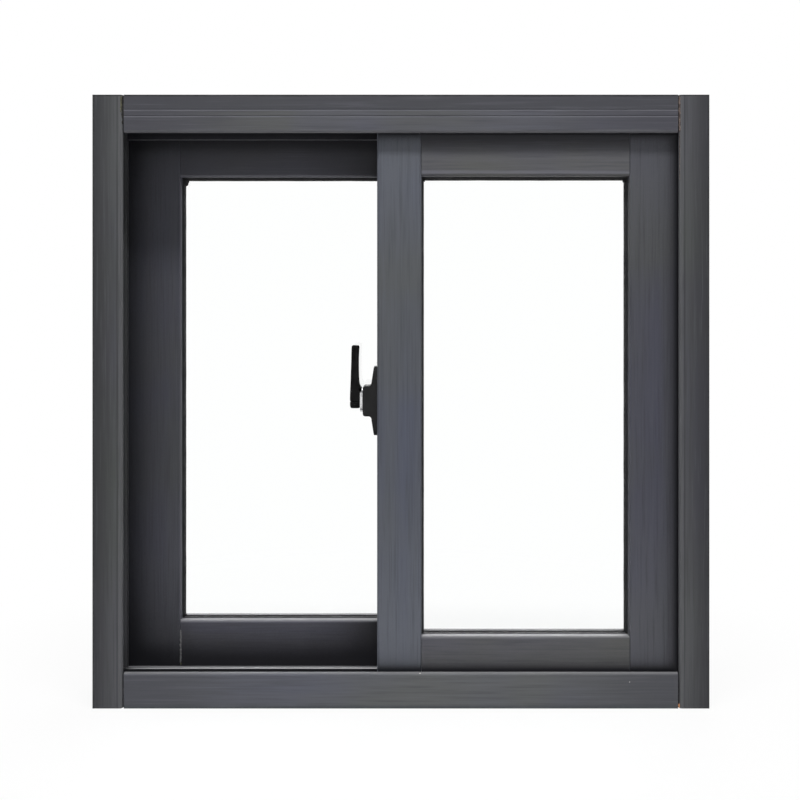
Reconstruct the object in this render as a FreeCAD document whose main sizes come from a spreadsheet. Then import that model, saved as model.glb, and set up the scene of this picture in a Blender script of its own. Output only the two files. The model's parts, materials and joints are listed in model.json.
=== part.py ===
# Horizontal sliding window, closed: two sashes on rollers in one aluminium frame, in millimetres.
# X runs to the right seen from the room, Y runs from the room outwards, Z runs up.
# The origin is the middle of the sill's underside.
# The front sash closes the right half and carries the lock.
# The rear sash is the same sash turned half round about Z, and stands a little higher.
import FreeCAD, Part
import os
import re
import Sketcher

os.makedirs("parts", exist_ok=True)
doc = FreeCAD.newDocument("SlidingWindow")
V = FreeCAD.Vector

# Driving sizes
SIZES = (
    ("frame_width", 600, "frame, over the jambs"),
    ("frame_height", 597, "frame, sill underside to head top"),
    ("frame_depth", 82, "frame, room face to outer face"),
    ("frame_wall", 1.6, "wall of the frame profiles"),
    ("jamb_face", 29.2, "reach of the jamb's outer flanges"),
    ("jamb_fin", 23.6, "reach of the jamb's middle fin"),
    ("jamb_chamber", 14, "closed chamber of the jamb"),
    ("head_face", 36.8, "reach of the head's outer flanges"),
    ("head_fin", 37.6, "reach of the head's middle fin"),
    ("head_chamber", 10, "closed chamber of the head"),
    ("sill_face", 34.5, "reach of the sill's outer flanges"),
    ("sill_fin", 26, "reach of the sill's middle fin"),
    ("sill_chamber", 12, "closed chamber of the sill"),
    ("fixing_place", 120, "fixing holes in each jamb, from the sill's underside and the head's top"),
    ("fixing_radius", 3, "fixing holes"),
    ("fin_width", 6, "middle fin between the two channels"),
    ("seal_room", 4.4, "between a sash and the lips of the seal slots"),
    ("sash_gap", 10, "between the two sashes"),
    ("rib_height", 32.3, "top of the front running rib above the underside"),
    ("rib_width", 2.4, "running rib"),
    ("rib_round", 1.1, "rounding of the rib's top"),
    ("rear_raise", 4, "rise of the rear rib and sash over the front ones"),
    ("edge_round", 2.8, "rounding of the flanges' edges beside the opening"),
    ("slot_width", 5.4, "seal slot inside"),
    ("slot_mouth", 3.4, "seal slot at its mouth"),
    ("slot_depth", 1.2, "seal slot under its lips"),
    ("slot_lip", 0.8, "thickness of the slot's lips"),
    ("slot_side", 1.8, "side walls of the slot"),
    ("line_first", 13.9, "first fine line on the head, below its top"),
    ("line_step", 6.2, "second fine line below the first"),
    ("line_width", 1.7, "fine line"),
    ("line_edge", 0.3, "steep upper side of a fine line"),
    ("line_depth", 0.4, "fine line"),
    ("drain_length", 25, "drain slot along the sill"),
    ("drain_height", 4, "drain slot above the channels' floor"),
    ("drain_place", 60, "drain slots' middles from the frame's sides"),
    ("pad_thickness", 1, "foam pad between a track's end and the jamb"),
    ("corner_seam", 1.2, "open seam between a track's flange and the jamb's"),
    ("cope_clearance", 0.3, "a track's notch round the jamb's fins"),
    ("sash_wall", 1.6, "wall of the sash profiles"),
    ("sash_corner", 1.4, "rounding of the sash profiles' corners"),
    ("hook_corner", 3, "rounding of the hook stile's outer corners"),
    ("rail_corner", 2.6, "rounding of the rails' edges beside the glass"),
    ("hook_reach", 23.4, "hook stile's outer edge past the window's middle"),
    ("hook_stile_width", 43.6, "face of the hook stile"),
    ("side_stile_width", 58.9, "face of the side stile with its hidden part"),
    ("top_rail_height", 53.3, "face of the top rail with its hidden part"),
    ("bottom_rail_height", 45.8, "face of the bottom rail with its skirts"),
    ("side_gap", 3, "between a closed sash and the jamb's chamber"),
    ("lift_gap", 15, "above the front sash, for lifting it off the rib"),
    ("rail_skirt", 10.6, "skirts of the bottom rail below the rib's top"),
    ("skirt_lip", 3.4, "inturned lip at the foot of each skirt"),
    ("notch_width", 8, "notch in a stile's foot over the rib"),
    ("notch_clearance", 1.4, "above the rib in that notch"),
    ("pocket_depth", 13, "glazing pocket"),
    ("pocket_width", 11, "glazing pocket"),
    ("glass_thickness", 5, "pane"),
    ("glass_bite", 9, "pane inside the pocket, each edge"),
    ("gasket_lip", 2.6, "gasket seen beyond the profile"),
    ("gasket_bevel", 1.6, "slope of the gasket's lip"),
    ("hook_depth", 7.6, "hook out from the stile"),
    ("hook_leg", 12, "hook's leg beyond the window's middle"),
    ("hook_tip", 4, "hook's tip across the window's middle"),
    ("hook_clearance", 2, "hook's ends from the frame's middle fins"),
    ("hook_round", 1, "rounding of the hook's bend"),
    ("pile_width", 2.8, "seal's pile"),
    ("pile_gap", 0.3, "pile's end from the face it brushes"),
    ("slot_fit", 0.1, "seal's base in its slot"),
    ("hook_pile_height", 1.8, "seal on the hook's tip"),
    ("hook_pile_width", 4, "seal on the hook's tip"),
    ("wheel_radius", 10.5, "roller wheel over its flanges"),
    ("wheel_seat", 8, "roller wheel in its groove"),
    ("wheel_width", 7, "roller wheel"),
    ("wheel_gap", 0.2, "between the wheel's groove and the rib's top"),
    ("wheel_play", 0.4, "between the sides of the wheel's groove and the rib"),
    ("wheel_room", 1, "round the wheel in its carriage"),
    ("axle_radius", 2.5, "roller axle"),
    ("axle_fit", 0.05, "carriage's bores round the axle"),
    ("carriage_length", 58, "roller carriage along the rail"),
    ("carriage_slope", 10, "sloped end of the carriage's foot"),
    ("carriage_foot", 1.6, "carriage's foot above the rib's top"),
    ("carriage_inset", 44, "carriage's middle from the rail's end"),
    ("carriage_slot", 8.6, "carriage's slot across the wheel"),
    ("cap_thickness", 2, "cap on a stile's top"),
    ("cap_plug", 12, "cap's plug down into the stile"),
    ("cap_fit", 0.2, "cap's plug inside the stile's walls"),
    ("block_length", 40, "block above a sash"),
    ("block_width", 20, "block above a sash"),
    ("block_place", 150, "block's middle from the window's middle"),
    ("block_gap", 2.5, "above a sash, under its block"),
    ("bumper_height", 30, "rubber bumper in the jamb"),
    ("bumper_width", 16, "rubber bumper in the jamb"),
    ("bumper_place", 150, "bumpers from the sill and from the head"),
    ("bumper_fit", 0.2, "between a bumper and the closed sash"),
    ("lock_height", 297.7, "lock's axis above the underside"),
    ("plate_length", 68, "lock's base plate"),
    ("plate_width", 22, "lock's base plate and boss"),
    ("plate_end", 3.2, "base plate at its ends"),
    ("plate_middle", 5.6, "base plate beside the boss"),
    ("plate_round", 6, "corners of the base plate"),
    ("boss_length", 29.8, "boss on the base plate"),
    ("boss_reach", 14.2, "boss's face from the stile"),
    ("boss_round", 2.6, "boss's outer edges"),
    ("boss_blend", 3, "hollow curve between boss and plate"),
    ("boss_foot", 3.4, "level foot of the boss on the plate"),
    ("screw_place", 25, "lock's screws from its axis"),
    ("screw_seat", 2.6, "underside of the screws' heads from the stile"),
    ("screw_head", 3.6, "radius of the screws' heads"),
    ("screw_shank", 2, "radius of the screws' shanks"),
    ("screw_length", 12, "screws under their heads"),
    ("screw_head_height", 1.6, "screws' heads"),
    ("screw_fit", 0.1, "round a screw's shank in its hole"),
    ("pin_radius", 4, "lock's spindle"),
    ("pin_fit", 0.05, "spindle's bore in the base"),
    ("pin_foot", 2, "spindle's inner end from the stile"),
    ("cam_gap", 0.3, "between the boss and the cam"),
    ("cam_thickness", 2.4, "cam plate"),
    ("cam_radius", 11.6, "cam plate round the spindle"),
    ("cam_tongue", 12, "cam's tongue across"),
    ("cam_round", 1.5, "corners of the cam's tongue"),
    ("lever_length", 54.9, "lever's end above the axis"),
    ("lever_heel", 7.7, "lever's heel below the axis"),
    ("lever_width", 14, "lever across, at the hub"),
    ("lever_tip_width", 10.5, "lever across, at its end"),
    ("lever_thick", 10.2, "lever at its hub"),
    ("lever_inner", 17.8, "inner face of the lever's arm, from the stile"),
    ("lever_tip_outer", 25.4, "lever's outer face at its end, from the stile"),
    ("lever_neck", 17, "where the lever's neck ends, above the axis"),
    ("lever_round", 1.4, "rounding of the lever's ends"),
    ("heel_round", 6.4, "rounding of the lever's heel"),
    ("lip_gap", 0.3, "between the cam's rim and the lever's lip"),
    ("lip_reach", 1.6, "lever's lip over the cam's rim"),
    ("lip_height", 0.8, "lever's lip over the cam's rim"),
    ("keeper_height", 20, "keeper plate"),
    ("keeper_wall", 1.6, "keeper plate"),
    ("keeper_gap", 2, "round the cam's tongue in the keeper"),
    ("keeper_back", 0.4, "between the keeper's back and the rear gasket"),
    ("keeper_foot", 0.5, "keeper's edge behind the stile's face"),
    ("keeper_lip", 8, "keeper's lip over the cam's tongue"),
)

sheet = doc.addObject("Spreadsheet::Sheet", "Sizes")
for row, (size_name, size, meaning) in enumerate(SIZES, 1):
    sheet.set(f"A{row}", meaning)
    sheet.set(f"B{row}", str(size))
    sheet.setAlias(f"B{row}", size_name)
doc.recompute()


def bound(words):
    """Words of the driving sizes, written as the document's objects read them."""
    return re.sub(r"[a-z][a-z_]*", lambda name: "Sizes." + name.group(), words)


def number(words):
    """The value that words of the driving sizes have now."""
    return float(sheet.evalExpression(words))


def sign(value):
    return (value > 0) - (value < 0)


pieces = []


def new_body(label):
    body = doc.addObject("PartDesign::Body", label)
    body.Label = label
    pieces.append(body)
    return body


def place(piece, across="0", out="0", up="0", turned=False):
    """Put a piece in the window; turned is half a turn about Z."""
    if turned:
        piece.Placement = FreeCAD.Placement(V(), FreeCAD.Rotation(V(0, 0, 1), 180))
    piece.setExpression("Placement.Base.x", bound(across))
    piece.setExpression("Placement.Base.y", bound(out))
    piece.setExpression("Placement.Base.z", bound(up))


def corner_points(loop, index):
    """Where a corner starts and ends: one point, or the two ends of its rounding and its middle."""
    across, along, *rounding = loop[index]
    here = V(number(across), number(along))
    if not rounding:
        return [(across, along)], here, None
    radius = rounding[0]
    before = loop[index - 1]
    after = loop[(index + 1) % len(loop)]
    back = V(number(before[0]), number(before[1])) - here
    ahead = V(number(after[0]), number(after[1])) - here
    ends = []
    for way in (back, ahead):
        ends.append((
            f"{across} + {sign(round(way.x, 6))} * ({radius})",
            f"{along} + {sign(round(way.y, 6))} * ({radius})",
        ))
    middle = here + (back.normalize() + ahead.normalize()) * number(radius)
    return ends, here, (middle, radius)


def add_loop(sketch, loop):
    """Draw one closed outline; every point is held by words of the driving sizes."""
    corners = [corner_points(loop, index) for index in range(len(loop))]
    lines = []
    for index, (ends, _, _) in enumerate(corners):
        start = ends[-1]
        finish = corners[(index + 1) % len(corners)][0][0]
        first = V(number(start[0]), number(start[1]))
        last = V(number(finish[0]), number(finish[1]))
        lines.append(sketch.addGeometry(Part.LineSegment(first, last)))
        hold_point(sketch, lines[-1], 1, start)
    for index, (ends, _, rounding) in enumerate(corners):
        line_in = lines[index - 1]
        line_out = lines[index]
        if rounding is None:
            sketch.addConstraint(Sketcher.Constraint("Coincident", line_in, 2, line_out, 1))
            continue
        hold_point(sketch, line_in, 2, ends[0])
        add_rounding(sketch, line_in, line_out, rounding)


def hold_point(sketch, line, end, words):
    point = sketch.getPoint(line, end)
    for kind, size, expression in zip(("DistanceX", "DistanceY"), (point.x, point.y), words):
        index = sketch.addConstraint(Sketcher.Constraint(kind, -1, 1, line, end, size))
        sketch.setExpression(f"Constraints[{index}]", bound(expression))


def add_rounding(sketch, line_in, line_out, rounding):
    middle, radius = rounding
    first = sketch.getPoint(line_in, 2)
    last = sketch.getPoint(line_out, 1)
    turn = (first - middle).cross(last - middle).z
    start, finish = (first, last) if turn > 0 else (last, first)
    circle = Part.Circle(middle, V(0, 0, 1), number(radius))
    arc = Part.ArcOfCircle(circle, circle.parameter(start), circle.parameter(finish))
    arc_index = sketch.addGeometry(arc)
    first_end, last_end = (1, 2) if turn > 0 else (2, 1)
    sketch.addConstraint(Sketcher.Constraint("Coincident", line_in, 2, arc_index, first_end))
    sketch.addConstraint(Sketcher.Constraint("Coincident", line_out, 1, arc_index, last_end))
    index = sketch.addConstraint(Sketcher.Constraint("Radius", arc_index, number(radius)))
    sketch.setExpression(f"Constraints[{index}]", bound(radius))


def add_circle(sketch, across, along, radius):
    circle = Part.Circle(V(number(across), number(along)), V(0, 0, 1), number(radius))
    index = sketch.addGeometry(circle)
    hold_point(sketch, index, 3, (across, along))
    held = sketch.addConstraint(Sketcher.Constraint("Radius", index, number(radius)))
    sketch.setExpression(f"Constraints[{held}]", bound(radius))


def sketch_on(body, role, loops=(), circles=(), offset="0"):
    """A sketch on one of the body's own origin planes, or at an offset along its normal."""
    sketch = body.newObject("Sketcher::SketchObject", body.Label + "_outline")
    plane = [feature for feature in body.Origin.OriginFeatures if feature.Role == role][0]
    sketch.AttachmentSupport = (plane, "")
    sketch.MapMode = "FlatFace"
    if offset != "0":
        sketch.setExpression("AttachmentOffset.Base.z", bound(offset))
    for loop in loops:
        add_loop(sketch, loop)
    for circle in circles:
        add_circle(sketch, *circle)
    return sketch


def pad(body, sketch, length, symmetric=False, reverse=False):
    feature = body.newObject("PartDesign::Pad", body.Label + "_pad")
    feature.Profile = sketch
    feature.SideType = "Symmetric" if symmetric else "One side"
    feature.Reversed = reverse
    feature.setExpression("Length", bound(length))
    sketch.Visibility = False
    return feature


def pocket(body, sketch, length=None, symmetric=False, reverse=False):
    """Cut a sketch out of the body, right through where no length is given."""
    doc.recompute()
    before = body.Shape.Volume
    feature = body.newObject("PartDesign::Pocket", body.Label + "_cut")
    feature.Profile = sketch
    feature.SideType = "Symmetric" if symmetric else "One side"
    feature.Reversed = reverse
    if length is None:
        feature.Type = "ThroughAll"
    else:
        feature.setExpression("Length", bound(length))
    sketch.Visibility = False
    doc.recompute()
    if not body.Shape.Volume < before:
        raise ValueError(f"a cut in {body.Label} removes nothing")
    return feature


def dress_edges(body, kind, chosen, words):
    """Round or bevel the edges that a test chooses."""
    doc.recompute()
    base = body.Tip
    names = [f"Edge{index}" for index, edge in enumerate(base.Shape.Edges, 1) if chosen(edge)]
    feature = body.newObject("PartDesign::" + kind, body.Label + "_" + kind.lower())
    feature.Base = (base, names)
    feature.setExpression("Radius" if kind == "Fillet" else "Size", bound(words))
    doc.recompute()
    return feature


def box_loop(left, right, low, high, *rounding):
    return [
        (left, low, *rounding),
        (right, low, *rounding),
        (right, high, *rounding),
        (left, high, *rounding),
    ]


# Frame profiles
# An outline point is a depth from the frame's outside and a place through the frame's thickness.
# The front half is written, and the rear half mirrors it about the middle fin.
FLANGE = "frame_wall + slot_depth + slot_lip"
HALF_SASH = f"(frame_depth / 4 - ({FLANGE}) / 2 - seal_room / 2 - sash_gap / 4)"
SASH_MIDDLE = f"({HALF_SASH} + sash_gap / 2)"


def front_half(face, fin, chamber, rib=None, lined=False):
    room = "-frame_depth / 2"
    inner = f"{room} + frame_wall"
    lip = f"{room} + {FLANGE}"
    under_lip = f"{lip} - slot_lip"
    near = f"{face} - slot_side"
    far = f"{near} - slot_width"
    near_lip = f"{near} - (slot_width - slot_mouth) / 2"
    far_lip = f"{far} + (slot_width - slot_mouth) / 2"
    points = [("0", room)]
    if lined:
        for line in ("line_first", "line_first + line_step"):
            points.append((line, room))
            points.append((f"{line} + line_edge", f"{room} + line_depth"))
            points.append((f"{line} + line_width", room))
    points += [
        (face, room, "edge_round"),
        (face, lip),
        (near_lip, lip),
        (near_lip, under_lip),
        (near, under_lip),
        (near, inner),
        (far, inner),
        (far, under_lip),
        (far_lip, under_lip),
        (far_lip, lip),
        (f"{far} - slot_side", lip),
        (f"{far} - slot_side", inner),
        (chamber, inner),
    ]
    if rib:
        points += rib_points(chamber, rib, f"-{SASH_MIDDLE}")
    points += [(chamber, "-fin_width / 2"), (fin, "-fin_width / 2")]
    return points


def rib_points(chamber, rib, middle):
    return [
        (chamber, f"{middle} - rib_width / 2"),
        (rib, f"{middle} - rib_width / 2", "rib_round"),
        (rib, f"{middle} + rib_width / 2", "rib_round"),
        (chamber, f"{middle} + rib_width / 2"),
    ]


def mirrored(points):
    return [(depth, f"-({place_through})", *rest) for depth, place_through, *rest in reversed(points)]


def chamber_loops(fin, chamber):
    wall_in = f"{chamber} - frame_wall"
    front = box_loop("frame_wall", wall_in, "frame_wall - frame_depth / 2", "-fin_width / 2")
    middle = box_loop("frame_wall", f"{fin} - frame_wall", "frame_wall - fin_width / 2",
                      "fin_width / 2 - frame_wall")
    return [front, middle, mirrored(front)]


def channel_loops(face, fin, chamber, ribs=(None, None), lined=False):
    front = front_half(face, fin, chamber, ribs[0], lined)
    rear = mirrored(front_half(face, fin, chamber, ribs[1], lined))
    return [front + rear] + chamber_loops(fin, chamber)


def turned_loops(loops, to_sketch):
    return [[to_sketch(*point) for point in loop] for loop in loops]


# Jambs run the full height and the tracks stand between them
for label, turned in (("left_jamb", False), ("right_jamb", True)):
    jamb = new_body(label)
    outline = sketch_on(jamb, "XY_Plane", channel_loops("jamb_face", "jamb_fin", "jamb_chamber"))
    pad(jamb, outline, "frame_height")
    heights = ("fixing_place", "frame_height - fixing_place")
    fixings = [(f"-{SASH_MIDDLE}", height, "fixing_radius") for height in heights]
    pocket(jamb, sketch_on(jamb, "YZ_Plane", circles=fixings), symmetric=True)
    place(jamb, "frame_width / 2" if turned else "-frame_width / 2", turned=turned)


# A track's end passes between the jamb's flanges and round its fin, up to a foam pad
TRACK_HALF = "frame_width / 2 - jamb_chamber - pad_thickness"
FLANGE_HALF = "frame_width / 2 - jamb_face - corner_seam"
FIN_HALF = "frame_width / 2 - jamb_fin - cope_clearance"


def cope_loops():
    loops = []
    cope = f"frame_depth / 2 - ({FLANGE}) - cope_clearance"
    fin = "fin_width / 2 + cope_clearance"
    beyond = f"{TRACK_HALF} + pad_thickness"
    for side in ("", "-"):
        start = f"{side}({FLANGE_HALF})"
        finish = f"{side}({beyond})"
        for low, high in ((cope, "frame_depth"), ("-frame_depth", f"-({cope})")):
            loops.append(box_loop(start, finish, low, high))
        loops.append(box_loop(f"{side}({FIN_HALF})", finish, f"-({fin})", fin))
    return loops


def track(label, loops, up):
    body = new_body(label)
    outline = sketch_on(body, "YZ_Plane", loops)
    pad(body, outline, f"2 * ({TRACK_HALF})", symmetric=True)
    pocket(body, sketch_on(body, "XY_Plane", cope_loops()), symmetric=True)
    place(body, up=up)
    return body


head_loops = turned_loops(channel_loops("head_face", "head_fin", "head_chamber", lined=True),
                          lambda depth, through, *rest: (through, f"-({depth})", *rest))
track("head_track", head_loops, "frame_height")
sill_ribs = ("rib_height", "rib_height + rear_raise")
sill_loops = turned_loops(channel_loops("sill_face", "sill_fin", "sill_chamber", sill_ribs),
                          lambda depth, through, *rest: (through, depth, *rest))
sill = track("sill_track", sill_loops, "0")

# Water drains outwards along the channels' floor, through the ribs, the fin and the outer flange
drains = []
for way in ("", "-"):
    middle = f"{way}(frame_width / 2 - drain_place)"
    drains.append(box_loop(f"{middle} - drain_length / 2", f"{middle} + drain_length / 2",
                           "sill_chamber", "sill_chamber + drain_height"))
pocket(sill, sketch_on(sill, "XZ_Plane", drains, offset=f"{SASH_MIDDLE} + rib_width"))


# Foam pads close the tracks' ends against the jambs
def joint_pads(label, low, high):
    body = new_body(label)
    edge = f"frame_depth / 2 - ({FLANGE}) - cope_clearance"
    fin = "fin_width / 2 + cope_clearance"
    loops = [box_loop(f"-({edge})", f"-({fin})", low, high), box_loop(fin, edge, low, high)]
    for side in ("", "-"):
        outline = sketch_on(body, "YZ_Plane", loops, offset=f"{side}({TRACK_HALF})")
        pad(body, outline, "pad_thickness", reverse=side == "-")
    return body


joint_pads("head_joint_pads", "frame_height - head_chamber", "frame_height")
joint_pads("sill_joint_pads", "0", "sill_chamber")


# Pile seals in the slots of the frame's flanges, up to the sashes' faces
SASH_FRONT = f"-({SASH_MIDDLE} + {HALF_SASH})"


def seal_loop(face):
    """A seal in the front flange: a base under the slot's lips and a narrower pile."""
    middle = f"{face} - slot_side - slot_width / 2"
    floor = "frame_wall - frame_depth / 2 + slot_fit"
    base = f"{floor} + slot_depth - 2 * slot_fit"
    brush = f"{SASH_FRONT} - pile_gap"
    half = "(slot_width / 2 - slot_fit)"
    pile = "pile_width / 2"
    return [
        (f"{middle} - {half}", floor),
        (f"{middle} + {half}", floor),
        (f"{middle} + {half}", base),
        (f"{middle} + {pile}", base),
        (f"{middle} + {pile}", brush),
        (f"{middle} - {pile}", brush),
        (f"{middle} - {pile}", base),
        (f"{middle} - {half}", base),
    ]


def seal_loops(face):
    return [seal_loop(face), mirrored(seal_loop(face))]


for label, turned in (("left_jamb_seals", False), ("right_jamb_seals", True)):
    seals = new_body(label)
    outline = sketch_on(seals, "XY_Plane", seal_loops("jamb_face"), offset="sill_face")
    pad(seals, outline, "frame_height - head_face - sill_face")
    place(seals, "frame_width / 2" if turned else "-frame_width / 2", turned=turned)

for label, face, up, way in (
    ("head_seals", "head_face", "frame_height", "-"),
    ("sill_seals", "sill_face", "0", ""),
):
    seals = new_body(label)
    loops = [[(through, f"{way}({depth})") for depth, through in loop] for loop in seal_loops(face)]
    pad(seals, sketch_on(seals, "YZ_Plane", loops), f"2 * ({FLANGE_HALF})", symmetric=True)
    place(seals, up=up)


# Sashes
# One sash is modelled as it stands on the front rib, from its foot up and about its own middle plane.
SASH_FOOT = "rib_height - rail_skirt"
SASH_HEIGHT = f"(frame_height - head_chamber - lift_gap - ({SASH_FOOT}))"
SASH_END = "(frame_width / 2 - jamb_chamber - side_gap)"
HOOK_INNER = "(hook_stile_width - hook_reach)"
SIDE_INNER = f"({SASH_END} - side_stile_width)"
RAIL_LENGTH = f"({SIDE_INNER} - {HOOK_INNER})"
TOP_EDGE = f"({SASH_HEIGHT} - top_rail_height)"
HALF_POCKET = "pocket_width / 2"
# The hook stops short of the frame's middle fins, and each sash's own height is allowed for
HOOK_FOOT = f"(sill_fin + hook_clearance - ({SASH_FOOT}))"
HOOK_LENGTH = "(frame_height - head_fin - sill_fin - rear_raise - 2 * hook_clearance)"


def glazed_loops(width, glass_corner, *outer_corner):
    """A closed sash profile, from its glazing edge outwards, and its hollow.

    Its outer edges are square where the frame's flanges hide them.
    """
    outer = [
        ("0", f"-{HALF_SASH}", glass_corner),
        (width, f"-{HALF_SASH}", *outer_corner),
        (width, HALF_SASH, *outer_corner),
        ("0", HALF_SASH, glass_corner),
        ("0", HALF_POCKET),
        ("pocket_depth", HALF_POCKET),
        ("pocket_depth", f"-{HALF_POCKET}"),
        ("0", f"-{HALF_POCKET}"),
    ]
    side = f"({HALF_POCKET} + sash_wall)"
    wide = f"({HALF_SASH} - sash_wall)"
    hollow = [
        ("sash_wall", f"-{wide}"),
        (f"{width} - sash_wall", f"-{wide}"),
        (f"{width} - sash_wall", wide),
        ("sash_wall", wide),
        ("sash_wall", side),
        ("pocket_depth + sash_wall", side),
        ("pocket_depth + sash_wall", f"-{side}"),
        ("sash_wall", f"-{side}"),
    ]
    return [outer, hollow]


def skirted_loops(height):
    """The bottom rail: glazing pocket above, and an open channel over the rib between two skirts."""
    wide = f"({HALF_SASH} - sash_wall)"
    lip = f"({HALF_SASH} - skirt_lip)"
    web = "pocket_depth + sash_wall"
    above_lip = f"{height} - sash_wall"
    outer = [
        ("0", f"-{HALF_SASH}", "rail_corner"),
        (height, f"-{HALF_SASH}"),
        (height, f"-{lip}"),
        (above_lip, f"-{lip}"),
        (above_lip, f"-{wide}"),
        (web, f"-{wide}"),
        (web, wide),
        (above_lip, wide),
        (above_lip, lip),
        (height, lip),
        (height, HALF_SASH),
        ("0", HALF_SASH, "rail_corner"),
        ("0", HALF_POCKET),
        ("pocket_depth", HALF_POCKET),
        ("pocket_depth", f"-{HALF_POCKET}"),
        ("0", f"-{HALF_POCKET}"),
    ]
    side = f"({HALF_POCKET} + sash_wall)"
    front = box_loop("sash_wall", "pocket_depth", f"-{wide}", f"-{side}")
    rear = box_loop("sash_wall", "pocket_depth", side, wide)
    return [outer, front, rear]


def place_on_track(piece, rear):
    if rear:
        place(piece, "0", SASH_MIDDLE, f"{SASH_FOOT} + rear_raise", turned=True)
    else:
        place(piece, "0", f"-{SASH_MIDDLE}", SASH_FOOT)


def foot_notch(body):
    half = "notch_width / 2"
    notch = [box_loop(f"-{half}", half, "-notch_clearance", "rail_skirt + notch_clearance")]
    pocket(body, sketch_on(body, "YZ_Plane", notch), symmetric=True)


def side_stile(label):
    body = new_body(label)
    loops = turned_loops(glazed_loops("side_stile_width", "sash_corner"),
                         lambda out, through, *rest: (f"{SIDE_INNER} + {out}", through, *rest))
    pad(body, sketch_on(body, "XY_Plane", loops), SASH_HEIGHT)
    foot_notch(body)
    return body


def hook_stile(label, locked):
    body = new_body(label)
    loops = turned_loops(glazed_loops("hook_stile_width", "sash_corner", "hook_corner"),
                         lambda out, through, *rest: (f"{HOOK_INNER} - ({out})", through, *rest))
    pad(body, sketch_on(body, "XY_Plane", loops), SASH_HEIGHT)
    back = HALF_SASH
    leg = "-hook_leg"
    tip = f"{back} + hook_depth"
    hook = [
        (leg, back),
        (f"{leg} + sash_wall", back),
        (f"{leg} + sash_wall", f"{tip} - sash_wall"),
        ("hook_tip", f"{tip} - sash_wall"),
        ("hook_tip", tip),
        (leg, tip, "hook_round"),
    ]
    pad(body, sketch_on(body, "XY_Plane", [hook], offset=HOOK_FOOT), HOOK_LENGTH)
    foot_notch(body)
    if locked:
        spots = [("0", f"lock_height - ({SASH_FOOT}) + {way} * screw_place") for way in (1, -1)]
        holes = [(*spot, "screw_shank + screw_fit") for spot in spots]
        outline = sketch_on(body, "YZ_Plane", circles=holes, offset="-hook_reach")
        pocket(body, outline, "4 * sash_wall", symmetric=True)
    return body


def hook_seal(label):
    body = new_body(label)
    low = f"{HALF_SASH} + hook_depth"
    loop = box_loop("hook_tip - hook_pile_width", "hook_tip", low, f"{low} + hook_pile_height")
    pad(body, sketch_on(body, "XY_Plane", [loop], offset=HOOK_FOOT), HOOK_LENGTH)
    return body


def rail(label, loops, up, way):
    body = new_body(label)
    outline = turned_loops(loops, lambda out, through, *rest: (through, f"{up} + {way} * ({out})", *rest))
    pad(body, sketch_on(body, "YZ_Plane", outline, offset=HOOK_INNER), RAIL_LENGTH)
    return body


def pane_loop(grow):
    return box_loop(f"{HOOK_INNER} - {grow}", f"{SIDE_INNER} + {grow}",
                    f"bottom_rail_height - {grow}", f"{TOP_EDGE} + {grow}")


def glass(label):
    body = new_body(label)
    pad(body, sketch_on(body, "XZ_Plane", [pane_loop("glass_bite")]), "glass_thickness", symmetric=True)
    return body


def gasket(label):
    """A channel of rubber round the pane, its lips sloping from the profile to the glass."""
    body = new_body(label)
    loops = [pane_loop("pocket_depth"), pane_loop("-gasket_lip")]
    pad(body, sketch_on(body, "XZ_Plane", loops), "pocket_width", symmetric=True)
    face = number(HALF_POCKET)
    left = number(f"{HOOK_INNER} + gasket_lip")
    right = number(f"{SIDE_INNER} - gasket_lip")

    def is_lip(edge):
        box = edge.BoundBox
        on_face = abs(abs(edge.CenterOfMass.y) - face) < 0.001
        return on_face and box.XMin > left - 0.001 and box.XMax < right + 0.001

    dress_edges(body, "Chamfer", is_lip, "gasket_bevel")
    pocket(body, sketch_on(body, "XZ_Plane", [pane_loop("glass_bite")]), "glass_thickness", symmetric=True)
    return body


# Roller carriages under the rail's web, their grooved wheels on the rib
AXLE_UP = "(rail_skirt + wheel_gap + wheel_seat)"
WEB_UP = "(bottom_rail_height - pocket_depth - sash_wall)"
AXLE_HALF = f"({HALF_SASH} - sash_wall)"


def carriage(label, middle):
    """A housing with a slot for its wheel and bores for the wheel's axle."""
    body = new_body(label)
    half = "carriage_length / 2"
    foot = "rail_skirt + carriage_foot"
    side_view = [
        (f"{middle} - {half} + carriage_slope", foot),
        (f"{middle} + {half} - carriage_slope", foot),
        (f"{middle} + {half}", AXLE_UP),
        (f"{middle} + {half}", WEB_UP),
        (f"{middle} - {half}", WEB_UP),
        (f"{middle} - {half}", AXLE_UP),
    ]
    pad(body, sketch_on(body, "XZ_Plane", [side_view]), f"2 * {AXLE_HALF}", symmetric=True)
    half_slot = "carriage_slot / 2"
    reach = "(wheel_radius + wheel_room)"
    wheel_slot = [box_loop(f"{middle} - {reach}", f"{middle} + {reach}", f"-{half_slot}", half_slot)]
    pocket(body, sketch_on(body, "XY_Plane", wheel_slot), f"{AXLE_UP} + {reach}", reverse=True)
    bore = [(middle, AXLE_UP, "axle_radius + axle_fit")]
    pocket(body, sketch_on(body, "XZ_Plane", circles=bore), symmetric=True)
    return body


def wheel(label, middle):
    """A wheel grooved for the rib, on its axle."""
    body = new_body(label)
    half = "wheel_width / 2"
    groove = "(rib_width / 2 + wheel_play)"
    inner_half = [
        ("0", f"-{AXLE_HALF}"),
        ("axle_radius", f"-{AXLE_HALF}"),
        ("axle_radius", f"-{half}"),
        ("wheel_radius", f"-{half}"),
        ("wheel_radius", f"-{groove}"),
        ("wheel_seat", f"-{groove}"),
    ]
    outer_half = [(out, f"-({along})") for out, along in reversed(inner_half)]
    outline = sketch_on(body, "XY_Plane", [inner_half + outer_half])
    turn = body.newObject("PartDesign::Revolution", label + "_turn")
    turn.Profile = outline
    turn.ReferenceAxis = (outline, ["V_Axis"])
    turn.Angle = 360
    outline.Visibility = False
    return body


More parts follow.
